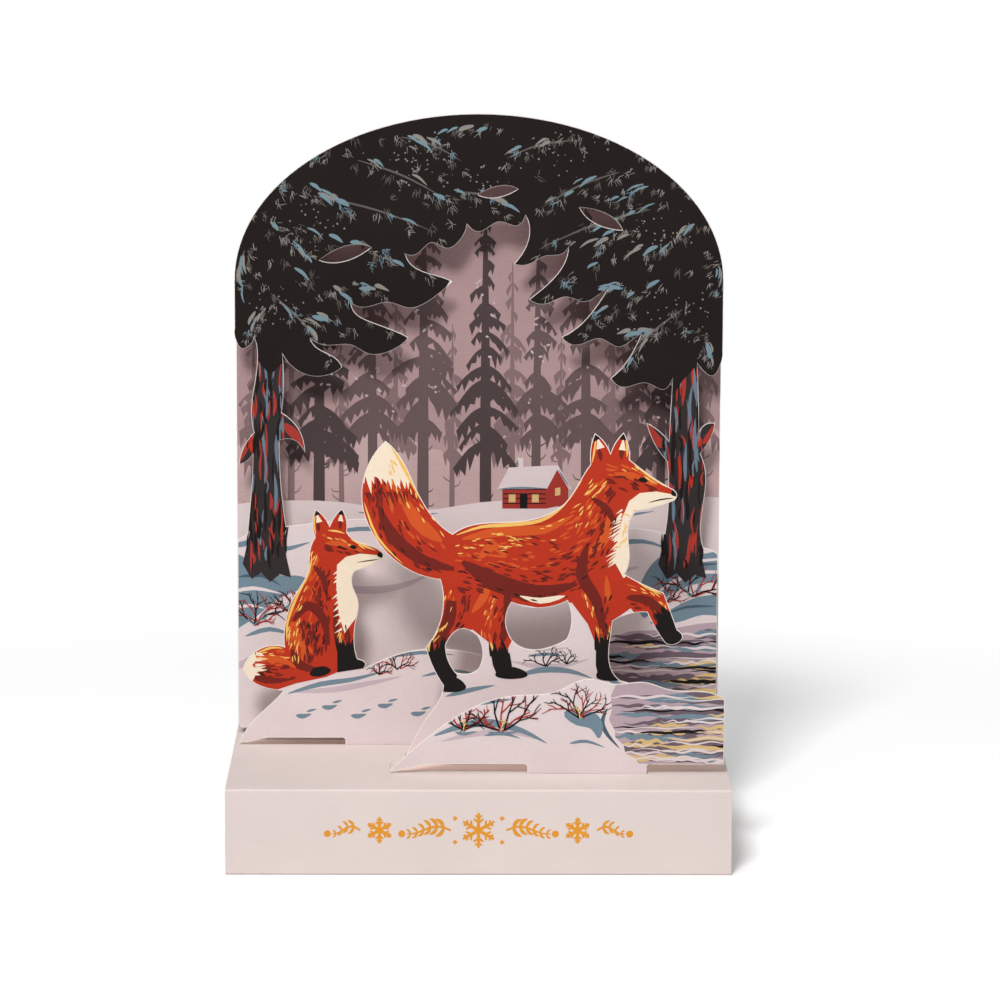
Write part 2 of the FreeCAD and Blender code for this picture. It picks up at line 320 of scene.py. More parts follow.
def curve_through(points: Sequence[Point], closed: bool, steps: int = 4) -> Outline:
    """Draws a smooth line through points.

    Args:
        points: the places it passes.
        closed: whether it returns to its start.
        steps: pieces between two points.

    Returns:
        The sampled line.
    """
    count = len(points)
    line: Outline = []
    spans = count if closed else count - 1
    for i in range(spans):
        if closed:
            four = [points[(i + k) % count] for k in (-1, 0, 1, 2)]
        else:
            four = [points[max(0, i - 1)], points[i], points[i + 1], points[min(count - 1, i + 2)]]
        for k in range(steps):
            line.append(on_spline(four, k / steps))
    if not closed:
        line.append(points[-1])
    return line


def on_spline(four: Sequence[Point], t: float) -> Point:
    """A place between the middle two of four points of a smooth line.

    Args:
        four: the four points.
        t: the share of the way.

    Returns:
        The place.
    """
    p0, p1, p2, p3 = (Vector(p) for p in four)
    place = 0.5 * ((2 * p1) + (p2 - p0) * t + (2 * p0 - 5 * p1 + 4 * p2 - p3) * t * t
                   + (3 * p1 - p0 - 3 * p2 + p3) * t * t * t)
    return (place.x, place.y)


def blob(*points: Point) -> Outline:
    """A closed shape with a smooth edge."""
    return curve_through(points, True)


def stroke(points: Sequence[Point], width: float, start: float = 0.15, end: float = 0.1,
           steps: int = 3, belly: float = 0.4) -> Outline:
    """A brush stroke that swells and tapers.

    Args:
        points: its middle line.
        width: its greatest width.
        start: the share of the width at its start.
        end: the share of the width at its end.
        steps: pieces between two points.
        belly: where along it the width is greatest.

    Returns:
        The closed outline.
    """
    line = curve_through(points, False, steps)
    last = len(line) - 1
    left: Outline = []
    right: Outline = []
    for i, here in enumerate(line):
        share = i / last
        before = Vector(line[max(0, i - 1)])
        after = Vector(line[min(last, i + 1)])
        way = after - before
        if way.length < 1e-9:
            continue
        way.normalize()
        if share < belly:
            swell = start + (1 - start) * math.sin(math.pi / 2 * share / belly)
        else:
            swell = end + (1 - end) * math.cos(math.pi / 2 * (share - belly) / (1 - belly))
        half = width * swell / 2
        left.append((here[0] - way.y * half, here[1] + way.x * half))
        right.append((here[0] + way.y * half, here[1] - way.x * half))
    return left + right[::-1]


def polar(place: Point, angle: float, reach: float) -> Point:
    """The point at a distance and an angle in degrees from another."""
    turn = math.radians(angle)
    return (place[0] + reach * math.cos(turn), place[1] + reach * math.sin(turn))


def disc(x: float, z: float, radius: float, sides: int = 8) -> Outline:
    """A small dot."""
    return [polar((x, z), 360 * k / sides, radius) for k in range(sides)]


def along(line: Sequence[Point], share: float) -> Point:
    """A place on the way through a line's points.

    Args:
        line: the points.
        share: the share of the way.

    Returns:
        The place.
    """
    place = share * (len(line) - 1)
    first = min(int(place), len(line) - 2)
    rest = place - first
    a, b = line[first], line[first + 1]
    return (a[0] + (b[0] - a[0]) * rest, a[1] + (b[1] - a[1]) * rest)


def fan(place: Point, angle: float, reach: float, count: int, dice: random.Random,
        width: float = 0.2, spread: float = 60.0) -> list[Outline]:
    """A tuft of short needles.

    Args:
        place: where they start.
        angle: the way they point on the whole.
        reach: the longest one's length.
        count: how many there are.
        dice: the seeded random numbers.
        width: their width.
        spread: how far to each side they turn.

    Returns:
        Their outlines.
    """
    marks = []
    for _ in range(count):
        start = polar(place, dice.uniform(0, 360), reach * 0.55 * dice.random())
        end = polar(start, angle + dice.uniform(-spread, spread), reach * dice.uniform(0.4, 0.9))
        marks.append(stroke([start, end], width * dice.uniform(0.7, 1.4), 0.6, 0.25, 1))
    return marks


def fringe(start: Point, end: Point, angle: float, reach: float, count: int, dice: random.Random,
           width: float = 0.6) -> list[Outline]:
    """Strokes that leave a line, so that one colour runs into the next like fur.

    Args:
        start: one end of the line.
        end: its other end.
        angle: the way the strokes point.
        reach: the longest one's length.
        count: how many there are.
        dice: the seeded random numbers.
        width: their width.

    Returns:
        Their outlines.
    """
    marks = []
    for k in range(count):
        here = along([start, end], (k + dice.random()) / count)
        tip = polar(here, angle + dice.uniform(-14, 14), reach * dice.uniform(0.45, 1.1))
        marks.append(stroke([here, tip], width * dice.uniform(0.8, 1.3), 1.0, 0.1, 2, 0.05))
    return marks


def fur(upper: Sequence[Point], lower: Sequence[Point], count: int, dice: random.Random,
        shares: tuple[float, float] = (0.0, 1.0), reach: float = 3.0, width: float = 0.5,
        turn: float = -10.0) -> list[Outline]:
    """Strokes of fur between two lines, along them.

    Args:
        upper: points of one line.
        lower: points of the other line, in the same direction.
        count: how many strokes there are.
        dice: the seeded random numbers.
        shares: the part of the way from the first line to the second that has strokes.
        reach: the longest stroke.
        width: their width.
        turn: how far they turn from the lines, in degrees.

    Returns:
        Their outlines.
    """
    first = curve_through(upper, False, 5)
    second = curve_through(lower, False, 5)
    marks = []
    for _ in range(count):
        share = dice.uniform(0.0, 0.94)
        side = dice.uniform(*shares)
        here = along([along(first, share), along(second, share)], side)
        ahead = along([along(first, share + 0.05), along(second, share + 0.05)], side)
        angle = math.degrees(math.atan2(ahead[1] - here[1], ahead[0] - here[0])) + turn + dice.uniform(-9,
                                                                                                       9)
        middle = polar(here, angle, reach * dice.uniform(0.25, 0.5))
        end = polar(middle, angle + dice.uniform(-14, 14), reach * dice.uniform(0.2, 0.5))
        marks.append(stroke([here, middle, end], width * dice.uniform(0.6, 1.3), 0.3, 0.08, 2))
    return marks


def shaggy(root: Point, tip: Point, fat: float, teeth: int, dice: random.Random) -> Outline:
    """A bough that droops: smooth above, with hanging teeth below.

    Args:
        root: where it leaves the trunk.
        tip: its end.
        fat: how deep it hangs.
        teeth: how many teeth hang from it.
        dice: the seeded random numbers.

    Returns:
        Its outline.
    """
    crest = (root[0] + (tip[0] - root[0]) * 0.5, root[1] + (tip[1] - root[1]) * 0.32)
    top = curve_through([root, crest, tip], False, 3)
    lower = []
    for k in range(teeth, 0, -1):
        share = k / (teeth + 0.6)
        here = along(top, share)
        deep = fat * math.sqrt(max(0.05, math.sin(math.pi * min(0.96, share)))) * dice.uniform(0.65, 1.2)
        nudge = dice.uniform(-0.5, 0.5)
        lower.append((here[0] + nudge, here[1] - deep))
        notch = along(top, max(0.0, share - 0.5 / (teeth + 0.6)))
        lower.append((notch[0], notch[1] - deep * dice.uniform(0.35, 0.75)))
    return top + lower


def fir(x: float, base: float, top: float, spread: float, dice: random.Random,
        bare: float = 0.28) -> list[Outline]:
    """A tall fir seen far off, with shaggy boughs on a bare trunk.

    Args:
        x: where it stands.
        base: the height of its foot.
        top: the height of its tip.
        spread: half its width at the lowest boughs.
        dice: the seeded random numbers.
        bare: the share of its height that is bare trunk.

    Returns:
        The outlines that make it up.
    """
    tall = top - base
    lean = dice.uniform(-0.7, 0.7)
    marks = [stroke([(x, top + 1.4), (x + lean * 0.4, base + tall * 0.5), (x + lean, base - 2)],
                    spread * 0.34, 0.12, 1.0, 3, 0.97)]
    share = 0.04
    side = dice.choice((-1, 1))
    while share < 1.0:
        z = top - share * tall * (1 - bare)
        wide = spread * (0.2 + 0.8 * share ** 0.8)
        for way in (side, -side):
            if dice.random() < 0.16:
                continue
            long = wide * dice.uniform(0.5, 1.2)
            drop = long * dice.uniform(0.35, 0.95)
            lift = dice.uniform(-0.6, 0.6)
            fat = (2.2 + 3.0 * share) * dice.uniform(0.7, 1.3)
            marks.append(shaggy((x, z + 0.7 + lift), (x + way * long, z - drop + lift), fat,
                                1 + int(long / 2.1), dice))
        side = -side
        share += dice.uniform(3.2, 6.4) / tall
    for _ in range(4):
        z = base + tall * bare * dice.uniform(0.2, 1.1)
        way = dice.choice((-1, 1))
        bend = polar((x, z), 90 - way * dice.uniform(50, 95), dice.uniform(1.2, 2.2))
        marks.append(stroke([(x, z), bend, polar(bend, 90 - way * 30, dice.uniform(0.8, 1.8))], 0.38, 1.0,
                            0.3, 2, 0.05))
    return marks


def twig(root: Point, angle: float, long: float, width: float, forks: int,
         dice: random.Random) -> list[Outline]:
    """A bare twig that forks.

    Args:
        root: where it starts.
        angle: the way it points.
        long: its length.
        width: its width at the root.
        forks: how many times it forks.
        dice: the seeded random numbers.

    Returns:
        The outlines of the twig and its forks.
    """
    bend = polar(root, angle + dice.uniform(-9, 9), long * 0.5)
    end = polar(bend, angle + dice.uniform(-22, 22), long * 0.5)
    marks = [stroke([root, bend, end], width, 1.0, 0.45, 2, 0.05)]
    if forks:
        for side, start in ((-1, bend), (1, along([bend, end], 0.6))):
            marks += twig(start, angle + side * dice.uniform(20, 44), long * dice.uniform(0.45, 0.75),
                          width * 0.72, forks - 1, dice)
    return marks


def twigs(x: float, z: float, size: float, dice: random.Random, count: int = 7) -> list[Outline]:
    """A bare shrub: forked twigs from one root.

    Args:
        x: where it stands.
        z: the height of its root.
        size: its height.
        dice: the seeded random numbers.
        count: how many twigs leave the root.

    Returns:
        The outlines of the twigs.
    """
    marks = []
    for k in range(count):
        angle = 168 - 156 * (k + 0.5) / count + dice.uniform(-9, 9)
        root = (x + dice.uniform(-0.08, 0.08) * size, z + dice.uniform(-0.03, 0.03) * size)
        marks += twig(root, angle, size * dice.uniform(0.45, 0.68), 0.24 + size * 0.014, 2, dice)
    return marks


def ripples(left: Point, right: Point, drop: float, rows: int, count: int,
            dice: random.Random, fat: float = 1.0) -> list[Outline]:
    """Wavy bands across water, at rows picked at random.

    Args:
        left: the upper left corner.
        right: the upper right corner.
        drop: the height of the water.
        rows: how many rows there are.
        count: how many bands there are.
        dice: the seeded random numbers.
        fat: the bands' height as a share of a row's.

    Returns:
        The outlines of the bands.
    """
    marks = []
    for _ in range(count):
        row = dice.randrange(rows)
        share = dice.uniform(-0.05, 1.0)
        long = dice.uniform(8.0, 24.0)
        x = left[0] + (right[0] - left[0]) * share
        z = left[1] + (right[1] - left[1]) * share - drop * (row + 0.5) / rows
        swing = dice.uniform(0.12, 0.42)
        phase = dice.uniform(0.0, math.tau)
        pace = dice.uniform(1.3, 2.1)
        line = [(x + long * k / 9, z + swing * math.sin(phase + pace * k)) for k in range(10)]
        marks.append(stroke(line, fat * drop / rows * dice.uniform(0.55, 1.25), 0.08, 0.06, 3, 0.5))
    return marks


def shrubs(places: Sequence[tuple[float, float, float]], shift: float, scale: float,
           dice: random.Random, count: int) -> list[Outline]:
    """Bare shrubs in one ink.

    Args:
        places: each shrub's place across, its root's height and its size.
        shift: how far this ink is moved across.
        scale: the size of this ink's twigs, as a share of the shrub's.
        dice: the seeded random numbers.
        count: how many twigs leave each root.

    Returns:
        The outlines of the twigs.
    """
    return [m for x, z, size in places for m in twigs(x + shift, z, size * scale, dice, count)]


# Sheets and print.

# The inks of the bands on water, and how tall a band is as a share of its row.
WATER_BANDS = ((Ink.WATER_PLUM, 1.4), (Ink.SLATE, 1.2), (Ink.WATER_GOLD, 0.95), (Ink.BLACK, 0.6),
               (Ink.SNOW, 0.5))


def signed_area(line: Sequence[Point]) -> float:
    """Twice the area inside a closed line, negative if it runs clockwise."""
    return sum(a[0] * b[1] - b[0] * a[1] for a, b in zip(line, list(line[1:]) + [line[0]]))


def inset(line: Sequence[Point], rim: float) -> Outline:
    """Moves a closed line to its left by the rim.

    Args:
        line: the line, with the card on its left.
        rim: how far it moves.

    Returns:
        The moved line.
    """
    moved: Outline = []
    count = len(line)
    for i, here in enumerate(line):
        before = Vector(here) - Vector(line[i - 1])
        after = Vector(line[(i + 1) % count]) - Vector(here)
        if before.length < 1e-9 or after.length < 1e-9:
            continue
        before.normalize()
        after.normalize()
        normal = Vector((-before.y - after.y, before.x + after.x))
        if normal.length < 1e-6:
            continue
        normal.normalize()
        slope = max(0.55, normal.dot(Vector((-before.y, before.x))))
        moved.append((here[0] + normal.x * rim / slope, here[1] + normal.y * rim / slope))
    return moved


@dataclass
class Sheet:
    """The printed front of one sheet of card, which lays thin fields of ink on it."""

    node: str
    slot: str
    rim: float = 0.2
    above: float = 21.5
    foot: float = 20.7
    step: float = 0.011
    sink: float = 0.02
    flat: float = 0.99
    least_area: float = 0.5
    level: int = 0
    loops: list[Outline] = field(default_factory=list)
    front: float = 0.0

    def __post_init__(self) -> None:
        """Finds the cut edges of the sheet's front face."""
        sheet = bpy.data.objects[self.node]
        place = sheet.matrix_world
        turn = place.to_3x3()
        corners = [place @ v.co for v in sheet.data.vertices]
        faces = [f for f in sheet.data.polygons if (turn @ f.normal).y < -self.flat]
        front = min(corners[i].y for f in faces for i in f.vertices if corners[i].z > self.above * MM)
        self.front = front / MM
        rings = [[corners[i] for i in face.vertices] for face in faces]
        rings = [ring for ring in rings if max(abs(c.y - front) for c in ring) <= TOLERANCE * MM
                 and max(c.z for c in ring) >= self.foot * MM]
        for line in self._cut_edges(rings):
            if len(line) > 3 and abs(signed_area(line)) > self.least_area:
                self.loops.append(inset(line, self.rim))
        LOG.info("%s: front at %.2f mm, %d cut edges", self.node, self.front, len(self.loops))

    @staticmethod
    def _cut_edges(rings: Iterable[Sequence[Vector]]) -> list[Outline]:
        """Follows the edges that only one face has.

        Args:
            rings: the corners of each face, in metres.

        Returns:
            The closed lines, with the card on their left.
        """
        seen: dict[tuple[Point, Point], None] = {}
        for ring in rings:
            keys = [(round(c.x / MM, 4), round(c.z / MM, 4)) for c in ring]
            if signed_area(keys) < 0:
                keys.reverse()
            seen.update({(a, b): None for a, b in zip(keys, keys[1:] + keys[:1]) if a != b})
        follow: dict[Point, list[Point]] = {}
        for a, b in seen:
            if (b, a) not in seen:
                follow.setdefault(a, []).append(b)
        lines = []
        while follow:
            start = next(iter(follow))
            line = [start]
            here = start
            while here in follow:
                ahead = follow[here].pop()
                if not follow[here]:
                    del follow[here]
                here = ahead
                if here == start:
                    break
                line.append(here)
            lines.append(line)
        return lines

    def ink(self, ink: Ink, marks: Iterable[Outline] | None = None) -> None:
        """Lays one ink on the sheet, on top of those before it.

        Args:
            ink: the colour.
            marks: its fields in X and Z, or None for the whole front.
        """
        self.level += 1
        name = f"{self.node}_print_{self.level:02d}_{ink.name.lower()}"
        corners, triangles = self._fields(marks)
        if not triangles:
            LOG.warning("%s is empty", name)
            return
        piece = self._solid(name, corners, triangles)
        piece.data.materials.append(ink_finish(ink).build())
        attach(piece, "root")
        LOG.info("%s: %d faces", name, len(piece.data.polygons))

    def water(self, left: Point, right: Point, drop: float, rows: int, counts: Sequence[int],
              dice: random.Random) -> None:
        """Lays wavy bands across water, ink by ink.

        Args:
            left: the upper left corner.
            right: the upper right corner.
            drop: the height of the water.
            rows: how many rows there are.
            counts: how many bands each ink has.
            dice: the seeded random numbers.
        """
        for (ink, fat), count in zip(WATER_BANDS, counts):
            self.ink(ink, ripples(left, right, drop, rows, count, dice, fat))

    def _fields(self, marks: Iterable[Outline] | None) -> tuple[list[Vector], list[list[int]]]:
        """Cuts fields to the sheet's edges.

        Args:
            marks: the fields, or None for the whole front.

        Returns:
            Corners, and triangles as lists of corner numbers.
        """
        points: list[Vector] = []
        rings: list[list[int]] = []
        kinds: list[int] = []
        groups: list[tuple[int, Sequence[Point]]] = []
        for line in self.loops:
            groups.append((1 if signed_area(line) > 0 else 2, line))
        for line in marks or []:
            groups.append((3, line))
        for kind, line in groups:
            ring = list(line)
            if signed_area(ring) < 0:
                ring.reverse()
            first = len(points)
            points += [Vector(p) for p in ring]
            rings.append(list(range(first, len(points))))
            kinds.append(kind)
        corners, _, faces, _, _, origin = delaunay_2d_cdt(points, [], rings, 1, MERGE, True)
        wanted = []
        for face, sources in zip(faces, origin):
            has = {kinds[s] for s in sources}
            if 1 in has and 2 not in has and (marks is None or 3 in has):
                wanted.append(list(face))
        return corners, wanted

    def _solid(self, name: str, corners: list[Vector], faces: list[list[int]]) -> bpy.types.Object:
        """Gives the fields a thickness.

        Args:
            name: the piece's name.
            corners: the fields' corners.
            faces: the fields' triangles.

        Returns:
            The piece, a closed film on the sheet's front.
        """
        used = sorted({i for face in faces for i in face})
        number = {old: new for new, old in enumerate(used)}
        count = len(used)
        top = self.front - self.step * self.level
        under = self.front + self.sink
        vertices = [(corners[i].x * MM, top * MM, corners[i].y * MM) for i in used]
        vertices += [(corners[i].x * MM, under * MM, corners[i].y * MM) for i in used]
        polygons = []
        borders: dict[tuple[int, int], int] = {}
        for face in faces:
            ring = [number[i] for i in face]
            polygons.append(ring)
            polygons.append([i + count for i in reversed(ring)])
            for a, b in zip(ring, ring[1:] + ring[:1]):
                borders[(a, b)] = 1
        for (a, b) in borders:
            if (b, a) not in borders:
                polygons.append([b, a, a + count, b + count])
        mesh = bpy.data.meshes.new(name)
        mesh.from_pydata(vertices, [], polygons)
        mesh.validate()
        mesh.update()
        piece = bpy.data.objects.new(name, mesh)
        bpy.context.scene.collection.objects.link(piece)
        return piece


# The card's pieces.


@dataclass(frozen=True)
class FlapShade:
    """A film on the glue flap where it shows through one cut-out of the plate: the warm brown is painted
    shade standing in for the shadow there, the card ink is plain card tone.
    """

    name: str
    low: float
    high: float
    fore: float
    aft: float
    ink: Ink = Ink.SLOT
    level: float = 20.5
    film: float = 0.03

    def lay(self) -> None:
        """Lays the shade on the flap."""
        corners = [(self.low, self.fore), (self.high, self.fore), (self.high, self.aft),
                   (self.low, self.aft)]
        vertices = [(x * MM, y * MM, (self.level + lift) * MM) for lift in (0.0, self.film) for x,
                    y in corners]
        faces = [(3, 2, 1, 0), (4, 5, 6, 7)] + [(k, (k + 1) % 4, (k + 1) % 4 + 4, k + 4) for k in range(4)]
        mesh = bpy.data.meshes.new(self.name)
        mesh.from_pydata(vertices, [], faces)
        mesh.materials.append(PaperFinish("flap_" + self.ink.name.lower(), self.ink.value,
                                          mottle_and_painted_shade=0.07).build())
        piece = bpy.data.objects.new(self.name, mesh)
        bpy.context.scene.collection.objects.link(piece)
        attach(piece, "root")


@dataclass
class BaseTray:
    """The folded base: plain card with a gold ornament on its riser."""

    centre: Point = (0.0, 11.0)
    flap_shades: tuple[FlapShade, ...] = (
        FlapShade("bank_flap_shade", -18.6, 59.7, -14.0, -6.0),
        FlapShade("bank_flap_end", -24.0, -18.6, -14.0, -6.0, Ink.CARD),
        FlapShade("front_figure_flap_shade", -20.0, 55.0, -2.2, 5.2),
        FlapShade("rear_figure_flap_shade", -57.0, 41.0, 14.1, 22.0),
        FlapShade("rear_figure_flap_end", -59.5, -57.0, 14.1, 22.0, Ink.CARD),
        FlapShade("frame_flap_shade", -59.5, 59.5, 27.5, 33.6),
    )

    def dress(self) -> None:
        """Prints the ornament."""
        sheet = Sheet("base_tray", "base_card", rim=0.0, above=1.0, foot=0.0, step=0.03)
        sheet.ink(Ink.TITLE_GOLD, self.ornament())
        # Lay the painted shade on the flaps under the cut-outs, and the card-toned films on the flap ends.
        for shade in self.flap_shades:
            shade.lay()

    def flake(self, x: float, z: float, size: float) -> list[Outline]:
        """A six-armed snow crystal.

        Args:
            x: its centre across.
            z: its centre's height.
            size: the length of an arm.

        Returns:
            Its outlines.
        """
        marks = []
        for k in range(6):
            angle = 90 + 60 * k
            marks.append(stroke([(x, z), polar((x, z), angle, size)], 0.85, 1.0, 0.6, 2, 0.05))
            for share, twig in ((0.45, 0.34), (0.72, 0.22)):
                fork = polar((x, z), angle, size * share)
                for side in (-1, 1):
                    marks.append(stroke([fork, polar(fork, angle + side * 55, size * twig)], 0.6, 1.0, 0.7,
                                        2, 0.05))
        return marks

    def sprig(self, x: float, z: float, long: float, side: int) -> list[Outline]:
        """A stem with paired leaves and a berry at its end.

        Args:
            x: where it starts.
            z: its height.
            long: its length.
            side: 1 to the right and -1 to the left.

        Returns:
            Its outlines.
        """
        def stem(share: float) -> Point:
            """The stem's place at a share of its length."""
            return (x + side * long * share, z + 0.9 * math.sin(share * math.pi * 1.6))
        marks = [stroke([stem(k / 6) for k in range(7)], 0.55, 0.8, 0.5, 3, 0.3)]
        pairs = max(4, round(long / 1.75))
        for k in range(1, pairs + 1):
            here = stem(k / (pairs + 0.6))
            reach = (3.3 - 1.7 * k / pairs) * min(1.0, 0.45 + long / 19)
            for turn in (-1, 1):
                angle = (0 if side > 0 else 180) + turn * side * 46
                tip = polar(here, angle, reach)
                middle = polar(here, angle + turn * side * 14, reach * 0.55)
                marks.append(stroke([here, middle, tip], reach * 0.32, 0.3, 0.05, 4, 0.45))
        end = stem(1.0)
        marks.append(disc(end[0] + side * 1.2, end[1], 0.85, 14))
        return marks

    def ornament(self) -> list[Outline]:
        """Snow crystals, sprigs and lozenges in one row.

        Returns:
            The outlines.
        """
        x, z = self.centre
        marks = self.flake(x, z, 4.3)
        for side in (-1, 1):
            marks += self.sprig(x + side * 6.6, z, 10.5, side)
            marks += self.flake(x + side * 23.6, z, 3.2)
            marks += self.sprig(x + side * 28.2, z, 6.6, side)
            for lift in (-2.9, 2.9):
                marks.append([polar((x + side * 5.6, z + lift), 90 * k, 0.62) for k in range(4)])
        return marks


@dataclass
class BackPanel:
    """The rear wall: a dusky sky with tall firs and a small cottage far off."""

    seed: int = 11
    low: float = 72.0
    dabs_per_tree: int = 9

    def dress(self) -> None:
        """Prints the wall."""
        dice = random.Random(self.seed)
        sheet = Sheet("back_panel", "back_panel_card", rim=0.15)
        sheet.ink(Ink.SKY)
        sheet.ink(Ink.SKY_PALE,
                  [blob((-64, 66), (-64, 92), (-44, 88), (-26, 97), (-8, 91), (12, 98), (30, 92),
                                      (46, 99), (64, 93), (64, 66), (30, 60), (-30, 60))])
        far = [(-56, 126, 4.6), (-46.5, 139, 5.2), (-34.5, 119, 4.0), (-20.5, 134, 4.8), (-6.5, 122, 4.0),
               (8.4, 137, 5.0), (20.6, 119, 3.8), (33.4, 133, 4.8), (44.5, 122, 4.2), (56, 130, 4.8)]
        middle = [(-51.5, 147, 6.6), (-26.6, 150, 7.6), (-13.6, 158, 8.6), (14.8, 148, 7.2),
                  (26.4, 156, 8.2), (39.5, 143, 6.8), (51, 149, 6.8)]
        near = [(-39.5, 151, 8.6), (1.6, 153, 8.8), (46, 136, 6.8)]
        for ink, trees, bare in ((Ink.FIR_FAR, far, 0.34), (Ink.FIR_MID, middle, 0.3),
                                 (Ink.FIR_NEAR, near, 0.26)):
            sheet.ink(ink, [m for x, top, wide in trees for m in fir(x, self.low, top, wide, dice, bare)])
        dabs = []
        for x, top, wide in middle + near:
            for _ in range(self.dabs_per_tree):
                drop = dice.uniform(0.25, 0.7)
                here = (x + wide * drop * dice.uniform(-1.0, 1.0), top - (top - self.low) * drop * 0.9)
                dabs.append(stroke([here, polar(here, dice.uniform(-60, 60), dice.uniform(0.5, 1.2))], 0.6,
                                   0.6, 0.4, 2))
        sheet.ink(Ink.SNOW_SHADE, dabs)
        sheet.ink(Ink.SNOW, [blob((-64, 60), (-64, 76), (-40, 78.5), (-16, 76), (6, 78.6), (30, 76.4),
                                  (64, 79), (64, 60))])
        sheet.ink(Ink.SLATE, [stroke([(-30, 75.6), (-20, 74.6), (-10, 75.4)], 1.0),
                              stroke([(22, 75.4), (32, 74.4), (44, 76.0)], 1.1)])
        self.cottage(sheet)

    def cottage(self, sheet: Sheet) -> None:
        """Prints a small cottage on the far slope.

        Args:
            sheet: the sheet it is on.
        """
        x, z = 6.0, 76.6
        sheet.ink(Ink.BARK_RED, [[(x, z), (x + 11, z), (x + 11, z + 5.4), (x, z + 5.4)],
                                 [(x + 11, z), (x + 16.5, z + 1.2), (x + 16.5, z + 5.6),
                                  (x + 13.6, z + 10.2), (x + 11, z + 5.4)]])
        bars = [[(x + 0.2, z + k), (x + 10.9, z + k), (x + 10.9, z + k + 0.25), (x + 0.2, z + k + 0.25)]
                for k in (1.2, 2.4, 3.6, 4.8)]
        panes = [[(x + u, z + 1.6), (x + u + 1.7, z + 1.6), (x + u + 1.7, z + 3.6), (x + u, z + 3.6)]
                 for u in (1.6, 7.4)]
        door = [[(x + 4.4, z), (x + 6.3, z), (x + 6.3, z + 3.8), (x + 4.4, z + 3.8)]]
        sheet.ink(Ink.BLACK, bars + door)
        sheet.ink(Ink.WATER_GOLD, panes + [[(x + 13.2, z + 3.2), (x + 14.5, z + 3.5), (x + 14.5, z + 5.4),
                                            (x + 13.2, z + 5.2)]])
        roof = [(x - 1.2, z + 4.9), (x + 1.6, z + 10.4), (x + 13.9, z + 11.0), (x + 17.4, z + 4.9),
                (x + 16.6, z + 5.0), (x + 13.7, z + 9.9), (x + 11.2, z + 5.1)]
        chimney = [(x + 3.6, z + 9.6), (x + 5.2, z + 9.6), (x + 5.2, z + 12.8), (x + 3.6, z + 12.8)]
        sheet.ink(Ink.SNOW, [roof, chimney])
        sheet.ink(Ink.SLATE, [stroke([(x - 0.8, z + 5.0), (x + 5, z + 5.3), (x + 11.0, z + 5.1)], 0.5),
                              stroke([(x + 14.0, z + 9.9), (x + 16.9, z + 5.2)], 0.5),
                              stroke([(x + 3.8, z + 10.4), (x + 3.8, z + 12.4)], 0.5)])


